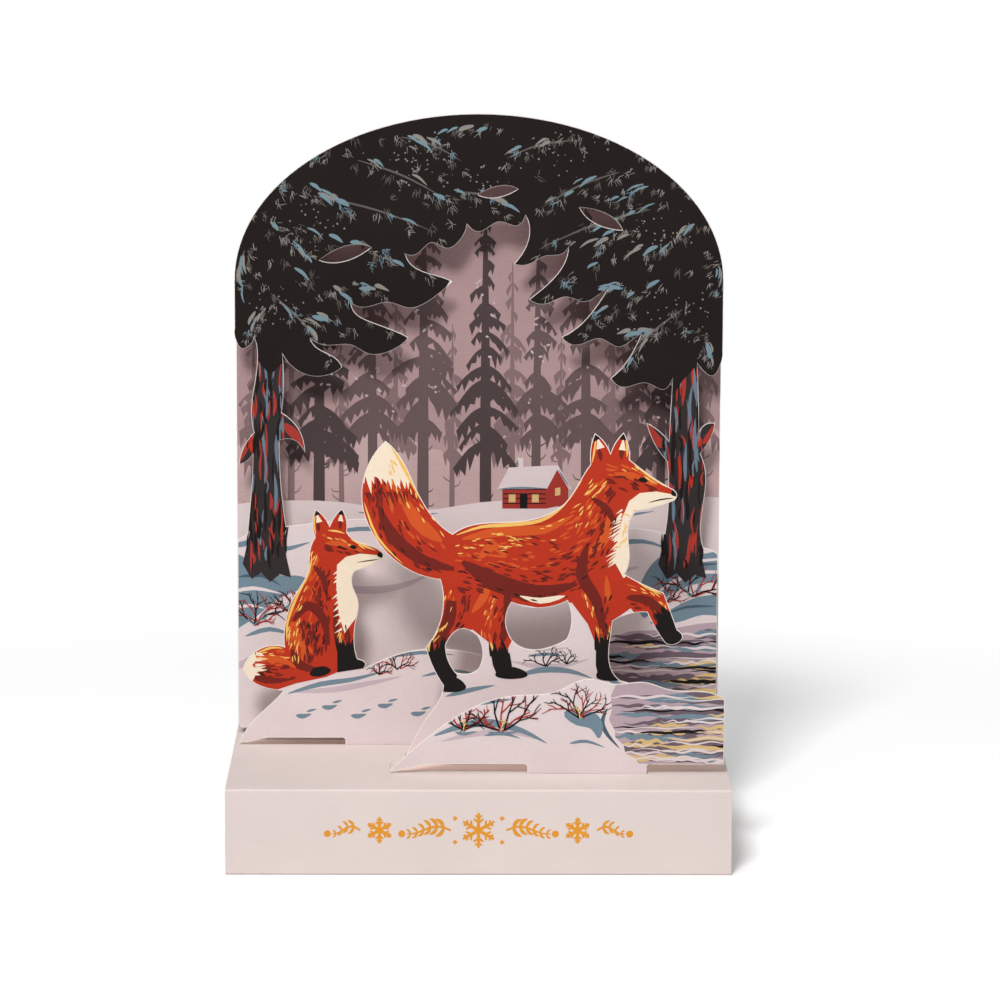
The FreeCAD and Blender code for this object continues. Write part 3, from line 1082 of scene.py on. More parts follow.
@dataclass
class ForestFrame:
    """The die-cut forest: hill, trunks and a dark roof of boughs."""

    seed: int = 23
    left_trunk: float = -52.4
    right_trunk: float = 51.0
    bark_strokes: int = 110
    clusters_per_bough: int = 9
    dabs_per_bough: int = 4
    loose_clusters: int = 46
    specks_per_cloud: int = 40

    def dress(self) -> None:
        """Prints the sheet."""
        dice = random.Random(self.seed)
        sheet = Sheet("forest_frame", "forest_frame_card", rim=0.14)
        sheet.ink(Ink.SNOW)
        self.hill(sheet, dice)
        self.trunks(sheet, dice)
        self.roof(sheet, dice)

    def hill(self, sheet: Sheet, dice: random.Random) -> None:
        """Prints drifts, shrubs and water on the hill.

        Args:
            sheet: the sheet.
            dice: the seeded random numbers.
        """
        sheet.ink(Ink.SNOW_SHADE, [
            stroke([(-40, 60.0), (-30, 57.4), (-20, 58.2), (-12, 61.4)], 2.0, 0.2, 0.1),
            stroke([(8, 62.4), (20, 60.2), (30, 61.0), (40, 63.4)], 2.4, 0.1, 0.2),
            stroke([(-60, 38.0), (-50, 41.0), (-42, 38.6)], 3.0, 0.5, 0.1),
        ])
        sheet.ink(Ink.SLATE, [
            stroke([(-61, 68.4), (-55, 69.4), (-49, 67.6), (-42, 69.4)], 1.7, 0.6, 0.1),
            blob((-64, 66.4), (-56, 64.4), (-50, 61.2), (-44, 60.8), (-38.6, 57.8), (-45, 57.2),
                 (-51, 54.2), (-57, 49.4), (-64, 47.4)),
            stroke([(-38, 71.6), (-30, 72.8), (-22, 72.4), (-15, 70.0)], 1.1, 0.1, 0.1),
            blob((64, 67.4), (54, 66.4), (46, 66.2), (41.6, 61.6), (39.6, 55.0), (41.4, 50.4), (44.6, 53.8),
                 (50, 57.6), (57, 59.6), (64, 60)),
            blob((64, 56), (55, 55.8), (47, 52.0), (43, 49.0), (50, 49.4), (56, 51.2), (64, 51)),
            stroke([(26, 66.0), (33, 69.0), (41, 69.8), (47, 68.0)], 1.3, 0.1, 0.1),
            stroke([(-58, 45.6), (-52, 47.4), (-46, 45.8)], 1.2, 0.2, 0.1),
        ])
        sheet.ink(Ink.SLATE_DEEP, [
            stroke([(-60, 60.6), (-54, 61.0), (-49, 58.4)], 0.9),
            stroke([(60, 64.2), (52, 63.6), (46, 61.6)], 0.9),
            stroke([(59, 53.4), (52, 53.2), (46, 51.0)], 0.7),
        ])
        sheet.ink(Ink.SNOW, [
            stroke([(-62, 56.6), (-56, 57.8), (-49, 56.4)], 1.0, 0.5, 0.1),
            stroke([(-62, 52.4), (-57, 53.4), (-53, 52.6)], 0.8, 0.5, 0.1),
            stroke([(62, 62.0), (54, 61.8), (46.6, 58.4), (43.0, 54.6)], 1.0, 0.5, 0.1),
            stroke([(62, 65.6), (56, 65.0), (50, 64.6)], 0.7, 0.5, 0.1),
        ])
        sheet.ink(Ink.WATER_MAUVE, [blob((27, 20), (31, 27), (29, 34), (31.5, 41), (36, 46.4), (46, 47.4),
                                         (64, 48.6), (70, 34), (64, 20))])
        sheet.water((29.5, 46.0), (58, 47.4), 24, 20, (50, 12, 18, 12, 22), dice)
        bushes = ((-55.5, 48.5, 11.0), (-46.5, 51.4, 8.6), (53.0, 56.0, 11.0), (46.4, 54.0, 7.6))
        sheet.ink(Ink.BARK_RED, shrubs(bushes, 0.5, 0.95, dice, 4))
        sheet.ink(Ink.BLACK, shrubs(bushes, 0.0, 1.0, dice, 3))
        sheet.ink(Ink.FROST, shrubs(bushes, -0.3, 0.5, dice, 2))

    def trunks(self, sheet: Sheet, dice: random.Random) -> None:
        """Prints the two trunks with long strokes of bark.

        Args:
            sheet: the sheet.
            dice: the seeded random numbers.
        """
        shapes = []
        for x in (self.left_trunk, self.right_trunk):
            shapes.append([(x - 6.2, 64.0), (x - 4.0, 60.2), (x - 1.6, 61.8), (x + 0.6, 59.4),
                           (x + 3.0, 61.4), (x + 5.8, 60.6), (x + 4.6, 66.0), (x + 4.2, 74.0), (x + 14, 92),
                           (x + 12, 104), (x + 5, 128), (x - 5, 128), (x - 14, 104), (x - 12, 84),
                           (x - 4.4, 72.0)])
        sheet.ink(Ink.BARK, shapes)
        strokes: dict[Ink, list[Outline]] = {Ink.BARK_RED: [], Ink.RED: [], Ink.BARK_BLUE: [],
                                             Ink.NIGHT: []}
        order = (Ink.BARK_RED, Ink.NIGHT, Ink.BARK_BLUE, Ink.BARK_RED, Ink.NIGHT, Ink.BARK_RED, Ink.NIGHT,
                 Ink.BARK_BLUE, Ink.NIGHT, Ink.BARK_RED, Ink.NIGHT, Ink.RED, Ink.BARK_BLUE)
        for x in (self.left_trunk, self.right_trunk):
            for k in range(self.bark_strokes):
                across = x + dice.uniform(-5.0, 4.8)
                z = dice.uniform(61, 114)
                long = dice.uniform(3.0, 11.0)
                line = [(across, z), (across + dice.uniform(-0.5, 0.5), z + long / 2),
                        (across + dice.uniform(-0.6, 0.6), z + long)]
                strokes[order[k % len(order)]].append(stroke(line, dice.uniform(0.3, 0.95), 0.2, 0.1))
        strokes[Ink.BARK_RED] += [
            stroke([(-48.6, 99.4), (-45.6, 96.6), (-43.4, 93.2)], 2.4),
            stroke([(46.6, 93.4), (44.0, 95.6), (42.0, 99.2)], 2.4),
            stroke([(-56.6, 95.4), (-58.2, 92.6), (-59.2, 89.6)], 1.8),
            stroke([(55.6, 94.4), (57.4, 96.6), (58.4, 99.4)], 1.8)]
        for ink, marks in strokes.items():
            sheet.ink(ink, marks)

    def roof(self, sheet: Sheet, dice: random.Random) -> None:
        """Prints the roof: night-dark boughs, then needles in greys and frost.

        Args:
            sheet: the sheet.
            dice: the seeded random numbers.
        """
        edge = [(-66, 180), (66, 180), (66, 108.4), (57.6, 109.4), (54.0, 114.2), (50.5, 110.4),
                (47.8, 106.4), (36, 104), (26, 106), (16, 116), (8, 127), (4, 140), (-4, 141), (-10, 130),
                (-14, 116), (-28, 112), (-34, 108), (-46, 110.4), (-48.8, 114.2), (-51.6, 111.4),
                (-54.6, 115.0), (-58, 115.0), (-66, 117)]
        sheet.ink(Ink.NIGHT, [edge])
        lines = []
        dark = []
        ash = []
        frost = []
        for number, (root, tip, reach) in enumerate(self.boughs()):
            heading = math.degrees(math.atan2(tip[1] - root[1], tip[0] - root[0]))
            hang = -1 if tip[0] > root[0] else 1
            crest = along([root, tip], 0.5)
            crest = polar(crest, heading - hang * 90, 1.6)
            path = curve_through([root, crest, tip], False, 6)
            if number % 3 == 0:
                lines.append(stroke(path[2:-2:2], 0.5, 0.3, 0.1))
            for k in range(self.clusters_per_bough):
                here = along(path, 0.08 + 0.1 * k + dice.uniform(-0.04, 0.04))
                place = polar(here, heading + hang * 90, dice.uniform(-1.0, 2.2))
                way = heading + hang * dice.uniform(20, 70)
                needles = dark if k % 2 else ash
                needles += fan(place, way, reach * 0.5, 9 if k % 2 else 7, dice, 0.26, 42)
            for _ in range(self.dabs_per_bough):
                start = polar(along(path, dice.uniform(0.1, 0.8)), heading - hang * 90,
                              dice.uniform(-0.6, 1.4))
                bend = polar(start, heading, dice.uniform(1.0, 2.8))
                dab = stroke([start, bend, polar(bend, heading + hang * 20, dice.uniform(0.8, 3.0))],
                             dice.uniform(0.4, 1.15), 0.25, 0.1)
                (frost if dice.random() < 0.6 else ash).append(dab)
            here = along(path, dice.uniform(0.55, 0.8))
            frost += fan(here, heading + hang * 40, reach * 0.5, 8, dice, 0.28, 50)
        for _ in range(self.loose_clusters):
            place = (dice.uniform(-56, 56), dice.uniform(122, 172))
            needles = dice.choice((dark, ash, frost))
            needles += fan(place, dice.uniform(0, 360), 1.9, 8, dice, 0.24, 80)
        sheet.ink(Ink.TAUPE, dark)
        sheet.ink(Ink.TAUPE, lines)
        sheet.ink(Ink.ASH, ash)
        sheet.ink(Ink.FROST, frost)
        speckle = [disc(dice.gauss(x, 5), dice.gauss(z, 3), dice.uniform(0.1, 0.28), 5)
                   for x, z in ((-49, 128), (-40, 150), (50, 126), (42, 146), (-16, 164), (18, 167),
                                (0, 158))
                   for _ in range(self.specks_per_cloud)]
        sheet.ink(Ink.ASH, speckle)

    @staticmethod
    def boughs() -> list[tuple[Point, Point, float]]:
        """The roof's boughs.

        Returns:
            Each bough's root, tip and needle length.
        """
        return [
            ((-54, 134), (-36.0, 113.6), 3.6), ((-53, 141), (-19.5, 120.6), 4.2),
            ((-51, 149), (-9.0, 134.0), 4.6), ((-46, 157), (-6.0, 145.0), 4.4),
            ((-52, 128), (-57.6, 119.4), 3.0), ((-44, 126), (-30.0, 121.4), 3.2),
            ((-34, 166), (-4.0, 152.6), 4.4), ((-40, 133), (-22.0, 131.0), 3.4),
            ((-56, 152), (-42.0, 139.0), 3.8), ((-22, 171), (-2.0, 163.0), 4.0),
            ((-50, 160), (-30.0, 150.4), 3.8), ((-36, 142), (-21.0, 142.0), 3.0),
            ((53, 130), (34.4, 111.8), 3.6), ((53, 138), (22.4, 121.6), 4.2),
            ((51, 146), (14.4, 131.0), 4.6), ((47, 154), (10.0, 140.6), 4.6),
            ((53, 124), (57.4, 113.6), 3.0), ((45, 121), (36.0, 121.0), 3.0),
            ((38, 163), (12.0, 151.0), 4.4), ((42, 131), (31.0, 132.4), 3.2),
            ((56, 150), (41.0, 138.0), 3.8), ((26, 170), (4.0, 164.0), 4.0),
            ((51, 159), (30.0, 153.4), 3.8), ((6, 173), (-14.0, 168.0), 3.6),
            ((-8, 157), (8.0, 152.6), 3.4), ((-30, 173), (-42.0, 163.0), 3.4),
            ((32, 172), (44.0, 163.0), 3.4), ((-57, 144), (-58.0, 132.0), 3.0),
            ((57, 143), (58.0, 130.0), 3.0), ((40, 147), (27.0, 143.0), 3.2),
        ]


@dataclass
class Fox:
    """The inks of a fox, cut to its sheet.

    Each list holds fields of one colour, in the order in which they are printed.
    """

    coat: list[Outline]
    deep: list[Outline]
    orange: list[Outline]
    cream: list[Outline]
    gold: list[Outline]
    black: list[Outline]

    def add_fur(self, regions: Sequence[tuple], dice: random.Random) -> None:
        """Brushes fur over parts of the coat.

        Args:
            regions: for each part, points of its sunlit edge, points of its shaded edge and a count.
            dice: the seeded random numbers.
        """
        for light, shade, count in regions:
            self.orange += fur(light, shade, count, dice, (0.02, 0.55), 2.8, 0.55)
            self.deep += fur(light, shade, count, dice, (0.45, 0.98), 3.0, 0.6)
            self.gold += fur(light, shade, count // 2, dice, (0.0, 0.3), 2.2, 0.32)
            self.black += fur(light, shade, count // 4, dice, (0.6, 0.98), 2.2, 0.34)

    def print_on(self, sheet: Sheet) -> None:
        """Prints the fox.

        Args:
            sheet: the sheet it is on.
        """
        sheet.ink(Ink.RED, self.coat)
        sheet.ink(Ink.ORANGE, self.orange)
        sheet.ink(Ink.RED_DEEP, self.deep)
        sheet.ink(Ink.CREAM, self.cream)
        sheet.ink(Ink.GOLD, self.gold)
        sheet.ink(Ink.BLACK, self.black)


@dataclass
class FrontFigure:
    """The sheet with the larger fox, which trots to the right."""

    seed: int = 37

    def dress(self) -> None:
        """Prints the sheet."""
        dice = random.Random(self.seed)
        sheet = Sheet("front_figure", "front_figure_card", rim=0.17)
        sheet.ink(Ink.SNOW)
        sheet.ink(Ink.SNOW_SHADE, [stroke([(8, 45.4), (14, 44.2), (21, 44.4), (27, 46.0)], 1.3, 0.1, 0.1),
                                   stroke([(11, 49.0), (16, 48.2), (22, 48.8)], 0.8, 0.1, 0.1)])
        sheet.ink(Ink.SLATE, [
            stroke([(9.5, 41.6), (15, 43.2), (22, 43.0), (27.6, 41.2)], 1.5),
            stroke([(-8, 36.6), (-2, 38.2), (4, 39.4)], 1.2),
            stroke([(31, 41.4), (34, 39.8), (38, 38.4)], 1.1),
            stroke([(12, 46.6), (17, 47.2), (21, 46.6)], 0.8),
        ])
        sheet.ink(Ink.BLACK, shrubs(((16.5, 44.2, 6.4), (21.5, 44.8, 4.6)), 0.0, 1.0, dice, 4))
        self.fox(dice).print_on(sheet)

    def fox(self, dice: random.Random) -> Fox:
        """Draws the larger fox.

        Args:
            dice: the seeded random numbers.

        Returns:
            Its fields of colour.
        """
        coat = [[(-34, 106), (-12, 106), (-6, 82), (22, 90), (26, 106), (38, 106), (54, 92), (54, 82),
                 (41, 80), (38, 68), (47, 66), (54, 50), (44, 49), (37, 58.6), (33.4, 56), (32.6, 50),
                 (33.0, 45), (32.4, 42.0), (29.6, 42.0), (28.7, 45), (28.8, 49), (26.6, 54.6), (22.6, 60.0),
                 (15, 58.6), (9.6, 59.6), (10.0, 54.4), (7.2, 48.6), (7.6, 45.0), (7.8, 42.6),
                 (4.8, 42.4), (3.5, 45), (2.6, 50), (-1.4, 53.2), (-5, 53.0), (-8.6, 49.6), (-7.6, 45.6),
                 (-5.9, 42.0), (-6.6, 39.6), (-10.6, 39.4), (-16, 50), (-13, 64), (-34, 64)]]
        deep = [
            stroke([(-4.0, 70.0), (4.0, 65.0), (14.0, 62.4), (24.0, 64.6)], 4.6, 0.2, 0.15),
            stroke([(-6.6, 60.4), (-7.4, 55.0), (-10.6, 49.6)], 3.0, 0.8, 0.4),
            stroke([(6.8, 62.0), (7.4, 56.0), (5.6, 50.6)], 2.6, 0.5, 0.6),
            stroke([(26.4, 74.6), (25.0, 67.0), (28.6, 60.6), (30.2, 53.6)], 3.0, 0.15, 0.5),
            stroke([(36.0, 61.2), (41.6, 60.4), (45.4, 56.4)], 2.2, 0.3, 0.5),
            stroke([(-24.4, 84.0), (-21.0, 76.4), (-13.6, 70.4), (-6.0, 68.2)], 3.2, 0.1, 0.3),
            stroke([(27.0, 86.0), (31.4, 82.6), (33.6, 77.0)], 1.8, 0.1, 0.1),
            stroke([(29.0, 97.8), (29.6, 94.8)], 1.2), stroke([(34.6, 98.4), (34.4, 95.2)], 1.2),
        ]
        for k in range(16):
            x = dice.uniform(-2, 24)
            z = dice.uniform(66, 77)
            deep.append(stroke([(x, z), (x + dice.uniform(1.6, 3.0), z - dice.uniform(0.2, 1.2))], 0.55))
        orange = [
            stroke([(-4.0, 75.6), (6.0, 77.6), (16.0, 78.0), (23.0, 81.6)], 2.6, 0.2, 0.1),
            stroke([(-9.0, 75.0), (-15.0, 80.0), (-19.6, 88.0)], 3.4, 0.2, 0.1),
            stroke([(0.0, 70.6), (3.6, 74.0), (6.6, 71.0)], 2.4),
            stroke([(26.6, 72.0), (30.6, 76.0), (31.6, 82.0)], 2.6),
            stroke([(33.0, 91.6), (37.6, 91.0), (43.0, 88.8)], 1.8),
            stroke([(-1.6, 57.4), (1.4, 61.6), (3.0, 66.0)], 2.0),
            stroke([(31.6, 60.0), (31.0, 66.6)], 1.6),
        ]
        cream = [
            [(-34, 108), (-32, 91.0), (-27.0, 91.4), (-22.0, 90.0), (-16.4, 92.0), (-12, 108)],
            [(50.0, 84.0), (48.6, 86.4), (43.0, 87.4), (39.0, 87.0), (36.4, 85.0), (34.8, 81.0),
             (33.6, 75.0), (33.0, 70.0), (35.2, 66.0), (42, 72), (40, 82)],
            [(33.8, 97.6), (34.9, 100.6), (35.5, 97.4)], [(28.4, 97.6), (28.6, 100.6), (30.4, 98.2)],
            stroke([(21.0, 61.6), (15.0, 60.4), (10.0, 61.6)], 1.5),
        ]
        gold = [
            stroke([(-21.6, 99.0), (-17.6, 92.0), (-13.8, 85.4), (-9.6, 79.4)], 0.9),
            stroke([(-5.4, 76.6), (0.6, 78.6), (8.0, 79.2), (15.0, 80.2), (20.4, 83.8), (25.0, 90.2)],
                   0.95),
            stroke([(27.4, 94.4), (28.0, 98.0), (28.3, 101.0)], 0.5),
            stroke([(37.2, 94.4), (41.6, 91.0), (45.6, 88.4)], 0.7),
            stroke([(35.8, 95.8), (35.8, 98.4), (35.2, 101.0)], 0.5),
            stroke([(-27.8, 84.6), (-24.6, 76.0), (-18.4, 69.4)], 0.6),
            stroke([(-9.4, 53.6), (-12.2, 48.6), (-10.6, 44.0)], 0.6),
            stroke([(36.2, 67.4), (40.6, 64.0), (44.6, 62.0)], 0.8),
            stroke([(3.0, 50.4), (4.0, 45.4)], 0.5),
            stroke([(32.0, 54.4), (31.4, 48.6), (32.0, 43.6)], 0.5),
        ]
        for k in range(12):
            angle = 200 + 14 * k
            here = (36.4 + dice.uniform(-2.0, 1.0), 74.0 + k * 0.8)
            gold.append(stroke([here, polar(here, angle, 2.0)], 0.4))
        black = [
            blob((47.0, 87.9), (48.3, 87.3), (48.1, 86.2), (46.6, 86.6)),
            blob((39.4, 90.9), (40.9, 90.2), (40.1, 89.5), (38.6, 90.1)),
            stroke([(47.2, 85.8), (44.0, 85.4), (41.0, 84.6)], 0.35),
            [(27.6, 99.4), (28.0, 102.6), (29.6, 100.6)], [(34.0, 100.2), (35.2, 102.6), (36.0, 99.8)],
            [(-13.4, 47.6), (-8.0, 48.2), (-7.0, 44.8), (-5.2, 41.8), (-6.2, 38.8), (-10.2, 38.6)],
            blob((-9.6, 38.2), (-8.8, 40.6), (-6.6, 41.6), (-4.2, 40.6), (-3.0, 38.9), (-4.4, 37.9),
                 (-7.0, 37.7)),
            [(3.0, 47.4), (7.6, 47.4), (8.1, 44.6), (8.5, 42.2), (4.6, 41.8), (3.5, 44.4)],
            blob((4.2, 41.7), (5.0, 43.4), (8.0, 44.0), (10.8, 43.2), (12.0, 42.0), (10.6, 41.2),
                 (7.0, 41.0)),
            [(28.6, 49.0), (32.8, 49.6), (32.6, 45.0), (33.4, 42.2), (29.2, 41.8), (28.6, 44.4)],
            blob((28.8, 41.4), (29.4, 43.2), (32.2, 43.9), (35.2, 42.8), (36.2, 41.5), (34.4, 40.7),
                 (31.0, 40.6)),
            [(44.2, 56.4), (49.0, 57.2), (52.0, 48.0), (44.0, 48.6), (42.6, 53.2)],
        ]
        for start, end in (((-12.8, 46.8), (-7.8, 47.2)), ((3.0, 46.6), (7.6, 46.4)),
                           ((28.6, 48.2), (32.9, 48.6))):
            black += fringe(start, end, 95, 4.6, 11, dice, 0.8)
        black += fringe((43.8, 55.4), (48.2, 55.8), 118, 4.2, 10, dice, 0.8)
        cream += fringe((34.8, 83.0), (33.4, 70.0), 216, 3.2, 20, dice, 0.5)
        cream += fringe((-28.4, 92.6), (-16.4, 92.4), 287, 5.4, 18, dice, 1.3)
        deep += fringe((-28.0, 87.0), (-16.0, 87.4), 290, 4.2, 16, dice, 0.6)
        fox = Fox(coat, deep, orange, cream, gold, black)
        fox.add_fur((
            ([(-6, 75), (4, 77.6), (14, 79), (22, 83), (28, 92)],
             [(-6, 63), (6, 60.5), (15, 60), (23, 62), (32, 70)], 74),
            ([(-7, 77), (-13, 83), (-18, 91), (-21, 95)], [(-9, 66), (-19, 70), (-25.5, 78), (-26, 88)],
             42),
            ([(30, 91), (26, 86), (23, 78)], [(34.6, 86), (33, 78), (31, 70)], 24),
            ([(-8, 64), (-8.6, 56), (-11.6, 49)], [(-1, 62), (-3, 55), (-7.4, 50)], 16),
            ([(2.6, 62), (0.6, 54), (2.8, 49)], [(7.4, 60), (6.4, 54), (6.8, 49)], 12),
            ([(24, 64), (27.6, 57), (29, 50)], [(32.6, 62), (32, 55), (32.6, 50)], 16),
            ([(35, 66), (41, 63.6), (45.6, 61), (47, 57)], [(33, 57.4), (40, 58.6), (42.6, 56), (44.6, 54)],
             14),
            ([(30.6, 95), (36.6, 94.6), (43, 90.0)], [(30.6, 88), (36, 87.6), (42, 87.4)], 14),
        ), dice)
        return fox


@dataclass
class RearFigure:
    """The sheet with the smaller fox, which sits."""

    seed: int = 41

    def dress(self) -> None:
        """Prints the sheet."""
        dice = random.Random(self.seed)
        sheet = Sheet("rear_figure", "rear_figure_card", rim=0.16)
        sheet.ink(Ink.SNOW)
        sheet.ink(Ink.SNOW_SHADE,
                  [stroke([(-46, 34.2), (-36, 34.8), (-27, 36.4), (-19, 38.2)], 1.5, 0.1, 0.1),
                                   stroke([(-6, 33.4), (2, 34.0), (11, 32.4)], 1.1, 0.1, 0.1)])
        prints = []
        for x, z in ((-45, 28.4), (-38.6, 30.6), (-31.4, 28.4), (-24.8, 31.0), (-16.6, 29.0), (-9.6, 31.6)):
            prints.append(stroke([(x, z - 0.1), (x + 1.8, z - 0.3), (x + 3.8, z + 0.3)], 1.2, 0.3, 0.05))
            prints.append(stroke([(x + 2.6, z + 0.9), (x + 3.8, z + 1.2), (x + 5.0, z + 1.5)], 0.6, 0.3,
                                 0.05))
        sheet.ink(Ink.SLATE, prints + [
            stroke([(-47.0, 33.8), (-39.0, 36.2), (-31.0, 37.4), (-23.0, 39.6)], 1.3),
            stroke([(-22.0, 43.0), (-14.0, 44.2), (-6.0, 43.6)], 0.9),
            stroke([(-14, 38.2), (-7, 39.6), (0, 38.8)], 0.9)])
        tufts = ((-20.0, 40.0, 6.0), (-24.8, 38.6, 4.4))
        sheet.ink(Ink.BARK_RED, shrubs(tufts, 0.4, 0.9, dice, 3))
        sheet.ink(Ink.BLACK, shrubs(tufts, 0.0, 1.0, dice, 3))
        self.fox(dice).print_on(sheet)

    def fox(self, dice: random.Random) -> Fox:
        """Draws the smaller fox.

        Args:
            dice: the seeded random numbers.

        Returns:
            Its fields of colour.
        """
        coat = [[(-62, 47), (-48.6, 47), (-50, 60), (-44, 84), (-30, 84), (-20, 70), (-22, 63), (-28, 62),
                 (-27, 56), (-29.6, 48), (-30.0, 43.8), (-27.4, 42.6), (-27.6, 40.6), (-34.4, 39.4),
                 (-37.6, 38.0), (-45, 36.4), (-52, 34.0), (-62, 36)]]
        deep = [
            stroke([(-45.6, 52.0), (-42.0, 56.0), (-38.2, 52.6), (-37.0, 46.0)], 2.4, 0.2, 0.3),
            stroke([(-46.0, 45.0), (-44.0, 41.0), (-38.6, 39.6)], 2.4),
            stroke([(-35.4, 56.0), (-34.8, 48.0), (-33.8, 42.6)], 1.6, 0.2, 0.6),
            stroke([(-57.4, 39.4), (-52.4, 37.2), (-46.0, 37.4)], 1.8),
            stroke([(-40.6, 66.0), (-38.0, 62.6), (-37.4, 58.0)], 1.6),
            stroke([(-39.6, 77.0), (-39.2, 74.4)], 0.9), stroke([(-34.0, 77.4), (-34.0, 75.0)], 0.9),
        ]
        for _ in range(10):
            x = dice.uniform(-45, -37)
            z = dice.uniform(48, 62)
            deep.append(stroke([(x, z), (x + 0.4, z - dice.uniform(1.2, 2.2))], 0.45))
        orange = [
            stroke([(-43.6, 60.6), (-41.8, 64.6), (-39.8, 69.0)], 1.8),
            stroke([(-46.0, 50.0), (-43.6, 46.4), (-40.4, 44.0)], 2.0),
            stroke([(-37.6, 71.6), (-33.4, 71.4), (-28.8, 69.4)], 1.4),
            stroke([(-54.0, 43.0), (-49.0, 42.4), (-45.0, 40.4)], 1.8),
        ]
        cream = [
            [(-22.4, 66.8), (-24.6, 68.6), (-29.2, 69.0), (-32.6, 68.2), (-34.8, 66.2), (-35.0, 61.0),
             (-34.4, 54.0), (-33.0, 49.0), (-31.6, 51.0), (-27, 57), (-27, 62), (-29, 64)],
            [(-62, 48), (-55.6, 45.4), (-54.6, 42.4), (-55.8, 41.0), (-54.4, 39.6), (-56.4, 35.6),
             (-62, 36)],
            [(-39.9, 76.6), (-39.8, 79.2), (-38.4, 77.0)], [(-34.6, 77.2), (-33.8, 79.2), (-33.2, 77.0)],
        ]
        gold = [
            stroke([(-47.2, 47.0), (-47.0, 52.0), (-44.6, 58.6), (-41.6, 64.6), (-41.0, 69.4)], 0.7),
            stroke([(-40.0, 73.6), (-40.4, 76.6), (-39.9, 79.4)], 0.4),
            stroke([(-31.4, 72.6), (-28.2, 71.0), (-25.2, 69.8)], 0.6),
            stroke([(-54.6, 44.0), (-51.0, 45.4), (-48.2, 45.2)], 0.6),
            stroke([(-37.0, 74.8), (-34.8, 74.6), (-32.8, 74.0)], 0.5),
        ]
        black = [
            blob((-24.5, 69.4), (-23.6, 68.9), (-23.8, 68.0), (-24.9, 68.5)),
            blob((-31.0, 71.2), (-29.9, 70.7), (-30.6, 70.1), (-31.7, 70.6)),
            stroke([(-24.6, 67.6), (-27.4, 67.2), (-30.0, 66.8)], 0.28),
            [(-40.6, 78.2), (-40.0, 80.6), (-38.6, 79.0)], [(-34.6, 78.8), (-33.6, 80.6), (-32.6, 78.6)],
            [(-34.8, 45.6), (-30.2, 46.2), (-29.8, 43.4), (-27.2, 42.8), (-27.4, 40.4), (-34.8, 39.2)],
            blob((-41.6, 38.6), (-40.6, 40.2), (-38.0, 40.7), (-36.4, 39.8), (-37.4, 38.7), (-39.6, 38.1)),
        ]
        black += fringe((-34.7, 44.6), (-30.3, 45.0), 92, 3.6, 10, dice, 0.7)
        cream += fringe((-34.6, 65.0), (-33.6, 50.0), 215, 2.2, 12, dice, 0.6)
        cream += fringe((-54.8, 44.6), (-55.2, 38.4), 0, 2.8, 8, dice, 0.8)
        fox = Fox(coat, deep, orange, cream, gold, black)
        fox.add_fur((
            ([(-40.8, 70), (-44, 60), (-46.8, 52), (-46.8, 46)],
             [(-36.4, 66), (-36.2, 58), (-36.4, 50), (-37, 44)], 46),
            ([(-46.4, 52), (-46.8, 47), (-46, 42)], [(-39.4, 52), (-39.0, 47), (-39.2, 42)], 26),
            ([(-47, 45), (-51, 45), (-54, 43.6)], [(-45, 37.6), (-49, 36), (-53, 37)], 16),
            ([(-38.6, 74), (-34, 73), (-29, 71)], [(-38, 69.6), (-34, 69.4), (-30, 69.2)], 10),
            ([(-35, 57), (-34.8, 51), (-34.6, 47)], [(-32, 50), (-31.2, 48.6), (-31, 47)], 8),
        ), dice)
        return fox


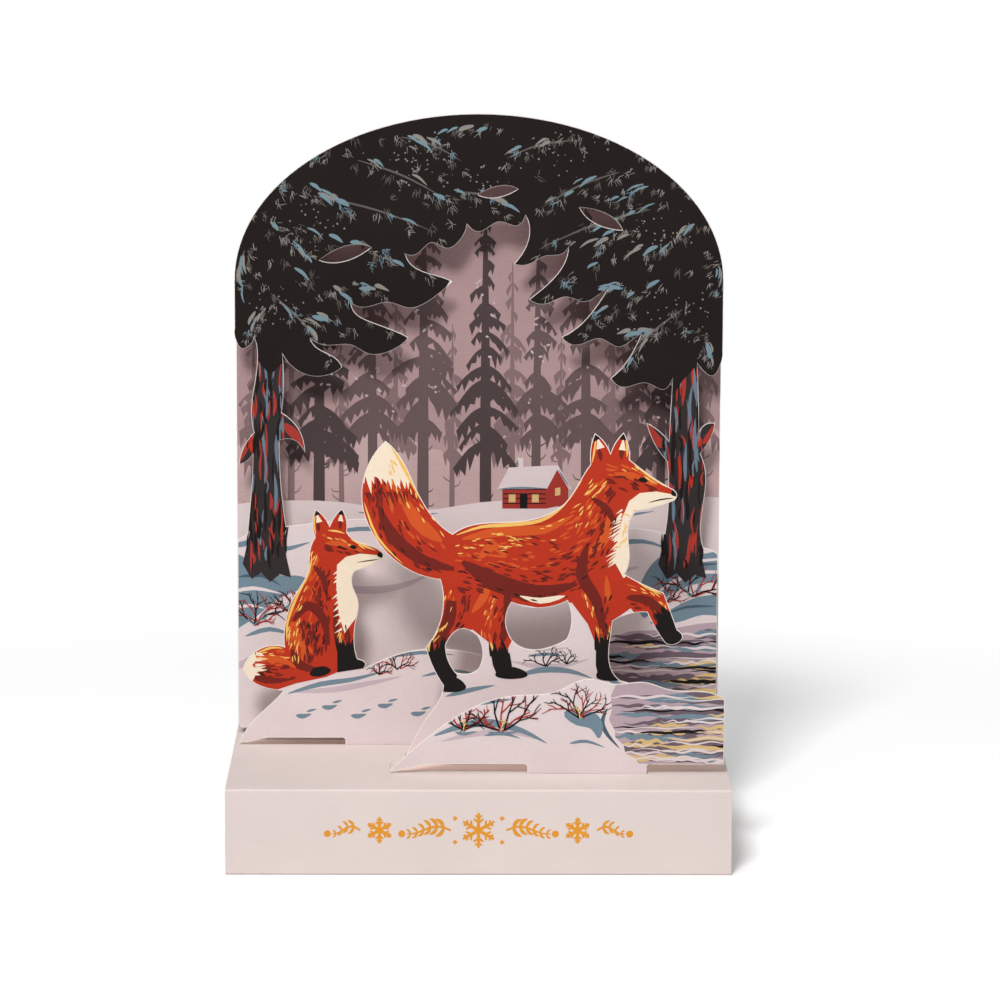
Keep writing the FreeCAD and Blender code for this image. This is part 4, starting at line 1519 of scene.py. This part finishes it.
@dataclass
class FrontBank:
    """The low bank in the foreground, with shrubs and water."""

    seed: int = 53

    def dress(self) -> None:
        """Prints the sheet."""
        dice = random.Random(self.seed)
        sheet = Sheet("front_bank", "front_bank_card", rim=0.14)
        sheet.ink(Ink.SNOW)
        sheet.ink(Ink.SNOW_SHADE, [stroke([(-9, 28.8), (-1, 30.6), (7, 31.2), (15, 29.2)], 1.4, 0.1, 0.1)])
        sheet.ink(Ink.SLATE, [
            stroke([(-10.6, 30.2), (-4.0, 32.6), (3.0, 33.4), (10.6, 31.4), (16.4, 28.4)], 1.9),
            blob((20.6, 36.0), (25.4, 37.4), (29.4, 35.6), (31.6, 31.6), (29.0, 29.0), (26.8, 32.4),
                 (23.4, 33.2)),
            stroke([(-2.0, 37.8), (3.4, 38.6), (8.0, 39.2)], 0.9),
            stroke([(1.4, 30.2), (5.6, 30.8), (10.0, 29.6)], 0.9),
        ])
        sheet.ink(Ink.WATER_MAUVE,
                  [[(66, 23.4), (66, 43.6), (33.6, 44), (31.6, 39.6), (31.4, 34.4), (33.4, 29.6),
                                     (36.0, 25.4), (38.0, 23.4)]])
        sheet.water((31.0, 41.4), (57.0, 40.0), 17.0, 16, (40, 12, 18, 8, 22), dice)
        sheet.ink(Ink.SNOW, [[(24.0, 45), (33.0, 45), (31.8, 40.0), (32.2, 37.0), (31.4, 34.2),
                              (32.8, 31.6), (33.0, 29.8), (35.0, 28.0), (35.4, 26.0), (38.0, 24.6),
                              (38.6, 23.4), (42.0, 23.4), (42.0, 19.0), (24.0, 19.0)]])
        sheet.ink(Ink.SLATE_DEEP, [stroke([(31.0, 37.0), (29.8, 33.6), (31.2, 30.4), (34.0, 27.2)], 1.1)])
        sheet.ink(Ink.SLATE, [
            blob((20.6, 35.4), (24.4, 36.6), (28.4, 35.6), (30.0, 32.6), (29.0, 29.6), (27.0, 32.0),
                 (23.4, 33.0)),
            stroke([(22.0, 28.4), (26.0, 28.9), (30.4, 27.4)], 0.8)])
        bushes = ((-3.4, 31.6, 9.4), (5.6, 31.6, 13.4), (24.4, 34.6, 10.6))
        sheet.ink(Ink.BARK_RED, shrubs(bushes, 0.4, 0.95, dice, 3))
        sheet.ink(Ink.BLACK, shrubs(bushes, 0.0, 1.0, dice, 4))
        sheet.ink(Ink.GOLD, shrubs(bushes, -0.2, 0.3, dice, 1))
        sheet.ink(Ink.SLATE, [stroke([(x - size * 0.24, z - 0.5), (x, z - 0.9), (x + size * 0.3, z - 0.3)],
                                     0.7, 0.1, 0.1)
                              for x, z, size in bushes])


# The room.


@dataclass(frozen=True)
class Lamp:
    """A soft square lamp that points at the card, with its place in metres and its power in watts."""

    name: str
    place: tuple[float, float, float]
    size: float
    power: float
    aim_height: float = 0.08

    def hang(self) -> None:
        """Hangs the lamp."""
        data = bpy.data.lights.new(self.name, "AREA")
        data.size = self.size
        data.energy = self.power
        lamp = bpy.data.objects.new(self.name, data)
        lamp.location = self.place
        aim = Vector((0, 0, self.aim_height)) - Vector(self.place)
        lamp.rotation_euler = aim.to_track_quat("-Z", "Y").to_euler()
        bpy.context.scene.collection.objects.link(lamp)


@dataclass(frozen=True)
class Studio:
    """The plain white floor, the soft light and the camera."""

    eye_mm: tuple[float, float, float] = (-4.613, -1174.03, 284.236)
    pitch: float = 9.643
    yaw: float = 0.4756
    roll: float = 0.1983
    lens_share: float = 4904.42
    sensor: float = 36.0
    picture: float = 1000.0
    floor_near: float = 0.18
    floor_far: float = 0.29
    floor_lift: float = 0.06
    floor_half: float = 12.0
    nearest: float = 0.05
    farthest: float = 50.0
    room_strength: float = 0.218
    lamps: tuple[Lamp, ...] = (Lamp("key_lamp", (-0.25, -1.13, 1.11), 0.32, 16.0),
                               Lamp("top_lamp", (-0.1, -0.35, 1.5), 1.2, 7.8))

    def camera(self) -> None:
        """Sets the camera at the photograph's place."""
        data = bpy.data.cameras.new("camera")
        data.sensor_width = self.sensor
        data.sensor_fit = "HORIZONTAL"
        data.lens = self.lens_share / self.picture * self.sensor
        data.clip_start = self.nearest
        data.clip_end = self.farthest
        pitch, yaw, roll = (math.radians(a) for a in (self.pitch, self.yaw, self.roll))
        ahead = Vector((math.sin(yaw) * math.cos(pitch), math.cos(yaw) * math.cos(pitch), -math.sin(pitch)))
        right = Vector((math.cos(yaw), -math.sin(yaw), 0.0))
        up = right.cross(ahead)
        across = math.cos(roll) * right + math.sin(roll) * up
        upward = -math.sin(roll) * right + math.cos(roll) * up
        turn = Matrix((across, upward, -ahead)).transposed().to_4x4()
        camera = bpy.data.objects.new("camera", data)
        camera.matrix_world = Matrix.Translation(Vector(self.eye_mm) * MM) @ turn
        bpy.context.scene.collection.objects.link(camera)
        bpy.context.scene.camera = camera

    def floor(self) -> None:
        """Lays the floor, which the camera sees as white and which keeps the shadow."""
        graph = Graph(bpy.data.materials.new("floor_paper"))
        seen = graph.wire("ShaderNodeLightPath", output="Is Camera Ray")
        place = graph.node("ShaderNodeTexCoord").outputs["Object"]
        grain = graph.wire("ShaderNodeTexNoise", {}, {"Vector": place, "Scale": 30.0}, "Fac")
        colour = graph.blend(grain, toned(WHITE, 0.8), toned(WHITE, 0.82))
        bright = graph.blend(grain, toned(WHITE, 1.12), toned(WHITE, 1.14))
        away = graph.wire("ShaderNodeVectorMath", {"operation": "LENGTH"}, {0: place}, "Value")
        fade = graph.wire("ShaderNodeMapRange", {"clamp": True},
                          {"Value": away, "From Min": self.floor_near, "From Max": self.floor_far})
        surface = graph.node("ShaderNodeBsdfDiffuse", {}, {"Color": colour})
        shown = graph.node("ShaderNodeBsdfDiffuse", {}, {"Color": bright})
        lift = graph.node("ShaderNodeEmission", {}, {"Color": WHITE, "Strength": self.floor_lift})
        lit = graph.node("ShaderNodeAddShader", {}, {0: shown.outputs[0], 1: lift.outputs[0]})
        white = graph.node("ShaderNodeEmission", {}, {"Color": WHITE, "Strength": 1.0})
        beyond = graph.node("ShaderNodeMixShader", {}, {0: fade, 1: lit.outputs[0], 2: white.outputs[0]})
        both = graph.node("ShaderNodeMixShader", {}, {0: seen, 1: surface.outputs[0], 2: beyond.outputs[0]})
        graph.node("ShaderNodeOutputMaterial", {}, {"Surface": both.outputs[0]})
        mesh = bpy.data.meshes.new("floor")
        half = self.floor_half
        mesh.from_pydata([(-half, -half, 0), (half, -half, 0), (half, half, 0), (-half, half, 0)], [],
                         [(0, 1, 2, 3)])
        mesh.materials.append(graph.owner)
        floor = bpy.data.objects.new("floor", mesh)
        bpy.context.scene.collection.objects.link(floor)
        floor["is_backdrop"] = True

    def light(self) -> None:
        """Hangs the lamps and makes the white room."""
        for lamp in self.lamps:
            lamp.hang()
        graph = Graph(bpy.data.worlds.new("room"))
        bpy.context.scene.world = graph.owner
        path = graph.node("ShaderNodeLightPath")
        soft = graph.node("ShaderNodeBackground", {}, {"Color": WHITE, "Strength": self.room_strength})
        seen = graph.node("ShaderNodeBackground", {}, {"Color": WHITE, "Strength": 1.0})
        mixer = graph.node("ShaderNodeMixShader", {}, {
            0: path.outputs["Is Camera Ray"],
            1: soft.outputs[0],
            2: seen.outputs[0],
        })
        graph.node("ShaderNodeOutputWorld", {}, {"Surface": mixer.outputs[0]})


def dress_card(nodes: dict[str, bpy.types.Object]) -> None:
    """Gives every sheet of the card its plain paper.

    Args:
        nodes: the card's pieces by name.
    """
    paper = PaperFinish("plain_card", Ink.CARD.value, mottle_and_painted_shade=0.06, tooth=0.6).build()
    core = PaperFinish("white_card", Ink.CORE.value, mottle_and_painted_shade=0.04).build()
    for name, piece in nodes.items():
        for slot in piece.material_slots:
            slot.material = paper if name == "base_tray" else core
        LOG.info("%s is plain card", name)


def save_size(when: str, sizes: dict[str, list]) -> None:
    """Notes the card's box."""
    low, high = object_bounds()
    sizes[when] = [[round(v, 6) for v in low], [round(v, 6) for v in high]]


def main() -> None:
    """Builds the scene."""
    logging.basicConfig(level=logging.INFO, format="%(message)s")
    bpy.context.scene.view_settings.view_transform = "Standard"
    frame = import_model()
    sizes: dict[str, list] = {}
    save_size("after_load", sizes)
    dress_card(frame["nodes"])
    for piece in (BaseTray(), BackPanel(), ForestFrame(), RearFigure(), FrontFigure(), FrontBank()):
        piece.dress()
        LOG.info("%s is printed", type(piece).__name__)
    studio = Studio()
    studio.floor()
    studio.light()
    studio.camera()
    save_size("before_finish", sizes)


if __name__ == "__main__":
    main()
